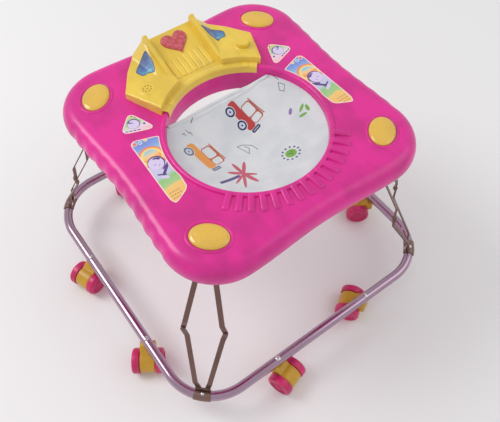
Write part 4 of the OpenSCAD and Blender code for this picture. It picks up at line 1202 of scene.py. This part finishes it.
class WalkerSizes(bpy.types.PropertyGroup):
    """Sizes that the looks add to the frame."""

    edge: size_property("Console edge", "Radius of the console's outer edge", 2.2, 0.5, 2.8)
    step_height: size_property("Steps", "Height of the console's rounded steps", 2.0, 0.5, 3.0)
    emboss: size_property("Cap pattern", "Height of the pattern on the corner caps", 0.35, 0.0, 0.8)
    rib_length: size_property("Rib length", "Length of the bars behind the seat ring", 33.0, 10.0, 50.0)
    rib_width: size_property("Rib width", "Width of the bars behind the seat ring", 11.0, 4.0, 14.0)
    rib_height: size_property("Rib height", "Height of the bars at their outer end", 2.2, 0.5, 4.0)
    hem_width: size_property("Hem width", "Width of the seat's bound edge", 6.0, 3.0, 12.0)


class WALKER_OT_stage(bpy.types.Operator):
    """Puts down the pale floor, the lights and the camera."""

    bl_idname = "walker.stage"
    bl_label = "Floor, lights and camera"

    def execute(self, context):
        build_stage()
        return {"FINISHED"}


class WALKER_OT_base_ring(bpy.types.Operator):
    """Builds the plated tube ring that the castors hang from."""

    bl_idname = "walker.base_ring"
    bl_label = "Base ring"

    def execute(self, context):
        build_base(context.scene.walker_colours)
        return {"FINISHED"}


class WALKER_OT_castors(bpy.types.Operator):
    """Builds the eight castor hoods and their wheels."""

    bl_idname = "walker.castors"
    bl_label = "Castors"

    def execute(self, context):
        build_castors(context.scene.walker_colours)
        return {"FINISHED"}


class WALKER_OT_metal(bpy.types.Operator):
    """Gives the leg strips, brackets, pins and screws their finishes."""

    bl_idname = "walker.metal"
    bl_label = "Legs and fasteners"

    def execute(self, context):
        build_metal(context.scene.walker_colours)
        return {"FINISHED"}


class WALKER_OT_tray(bpy.types.Operator):
    """Builds the tray moulding, the surrounds of its caps and the bars behind the seat ring."""

    bl_idname = "walker.tray"
    bl_label = "Tray"

    def execute(self, context):
        build_tray(context.scene.walker_colours, context.scene.walker_sizes)
        return {"FINISHED"}


class WALKER_OT_caps(bpy.types.Operator):
    """Builds the four domed caps with their pattern."""

    bl_idname = "walker.caps"
    bl_label = "Corner caps"

    def execute(self, context):
        build_caps(context.scene.walker_colours, context.scene.walker_sizes)
        return {"FINISHED"}


class WALKER_OT_stickers(bpy.types.Operator):
    """Builds the printed films beside the seat ring."""

    bl_idname = "walker.stickers"
    bl_label = "Stickers"

    def execute(self, context):
        build_stickers()
        return {"FINISHED"}


class WALKER_OT_console(bpy.types.Operator):
    """Builds the console's shell, its front edge and its hooks."""

    bl_idname = "walker.console"
    bl_label = "Console"

    def execute(self, context):
        build_console(context.scene.walker_colours, context.scene.walker_sizes)
        return {"FINISHED"}


class WALKER_OT_lens(bpy.types.Operator):
    """Builds the console's heart-shaped lens."""

    bl_idname = "walker.lens"
    bl_label = "Heart lens"

    def execute(self, context):
        build_lens(context.scene.walker_colours)
        return {"FINISHED"}


class WALKER_OT_button(bpy.types.Operator):
    """Builds the console's round button. The console comes first."""

    bl_idname = "walker.button"
    bl_label = "Button"

    def execute(self, context):
        build_button()
        return {"FINISHED"}


class WALKER_OT_windows(bpy.types.Operator):
    """Builds the two dark films on the console's wings."""

    bl_idname = "walker.windows"
    bl_label = "Window films"

    def execute(self, context):
        build_windows()
        return {"FINISHED"}


class WALKER_OT_inner_parts(bpy.types.Operator):
    """Gives the speaker, board, lamp, cells and studs their finishes. The console comes first."""

    bl_idname = "walker.inner_parts"
    bl_label = "Inner parts"

    def execute(self, context):
        build_inner_parts()
        return {"FINISHED"}


class WALKER_OT_seat(bpy.types.Operator):
    """Hangs the printed seat cloth and binds its front edge."""

    bl_idname = "walker.seat"
    bl_label = "Seat"

    def execute(self, context):
        build_seat(context.scene.walker_colours, context.scene.walker_sizes)
        return {"FINISHED"}


OPERATORS = (WALKER_OT_stage, WALKER_OT_base_ring, WALKER_OT_castors, WALKER_OT_metal, WALKER_OT_tray,
             WALKER_OT_caps, WALKER_OT_stickers, WALKER_OT_console, WALKER_OT_lens, WALKER_OT_button,
             WALKER_OT_windows, WALKER_OT_inner_parts, WALKER_OT_seat)


class WALKER_PT_panel(bpy.types.Panel):
    """Lists the walker's pieces, colours and sizes."""

    bl_idname = "WALKER_PT_panel"
    bl_label = "Baby walker"
    bl_space_type = "VIEW_3D"
    bl_region_type = "UI"
    bl_category = "Walker"

    def draw(self, context):
        for made in OPERATORS:
            self.layout.operator(made.bl_idname)
        for group in (context.scene.walker_colours, context.scene.walker_sizes):
            for key in group.__annotations__:
                self.layout.prop(group, key)


CLASSES = (WalkerColours, WalkerSizes, *OPERATORS, WALKER_PT_panel)


def register():
    for made in CLASSES:
        bpy.utils.register_class(made)
    bpy.types.Scene.walker_colours = PointerProperty(type=WalkerColours)
    bpy.types.Scene.walker_sizes = PointerProperty(type=WalkerSizes)


def unregister():
    del bpy.types.Scene.walker_sizes
    del bpy.types.Scene.walker_colours
    for made in reversed(CLASSES):
        bpy.utils.unregister_class(made)


def main():
    register()
    bpy.ops.walker.stage()
    bpy.ops.walker.base_ring()
    bpy.ops.walker.castors()
    bpy.ops.walker.metal()
    bpy.ops.walker.tray()
    bpy.ops.walker.caps()
    bpy.ops.walker.stickers()
    bpy.ops.walker.console()
    bpy.ops.walker.lens()
    bpy.ops.walker.button()
    bpy.ops.walker.windows()
    bpy.ops.walker.inner_parts()
    bpy.ops.walker.seat()


if __name__ == "__main__":
    main()
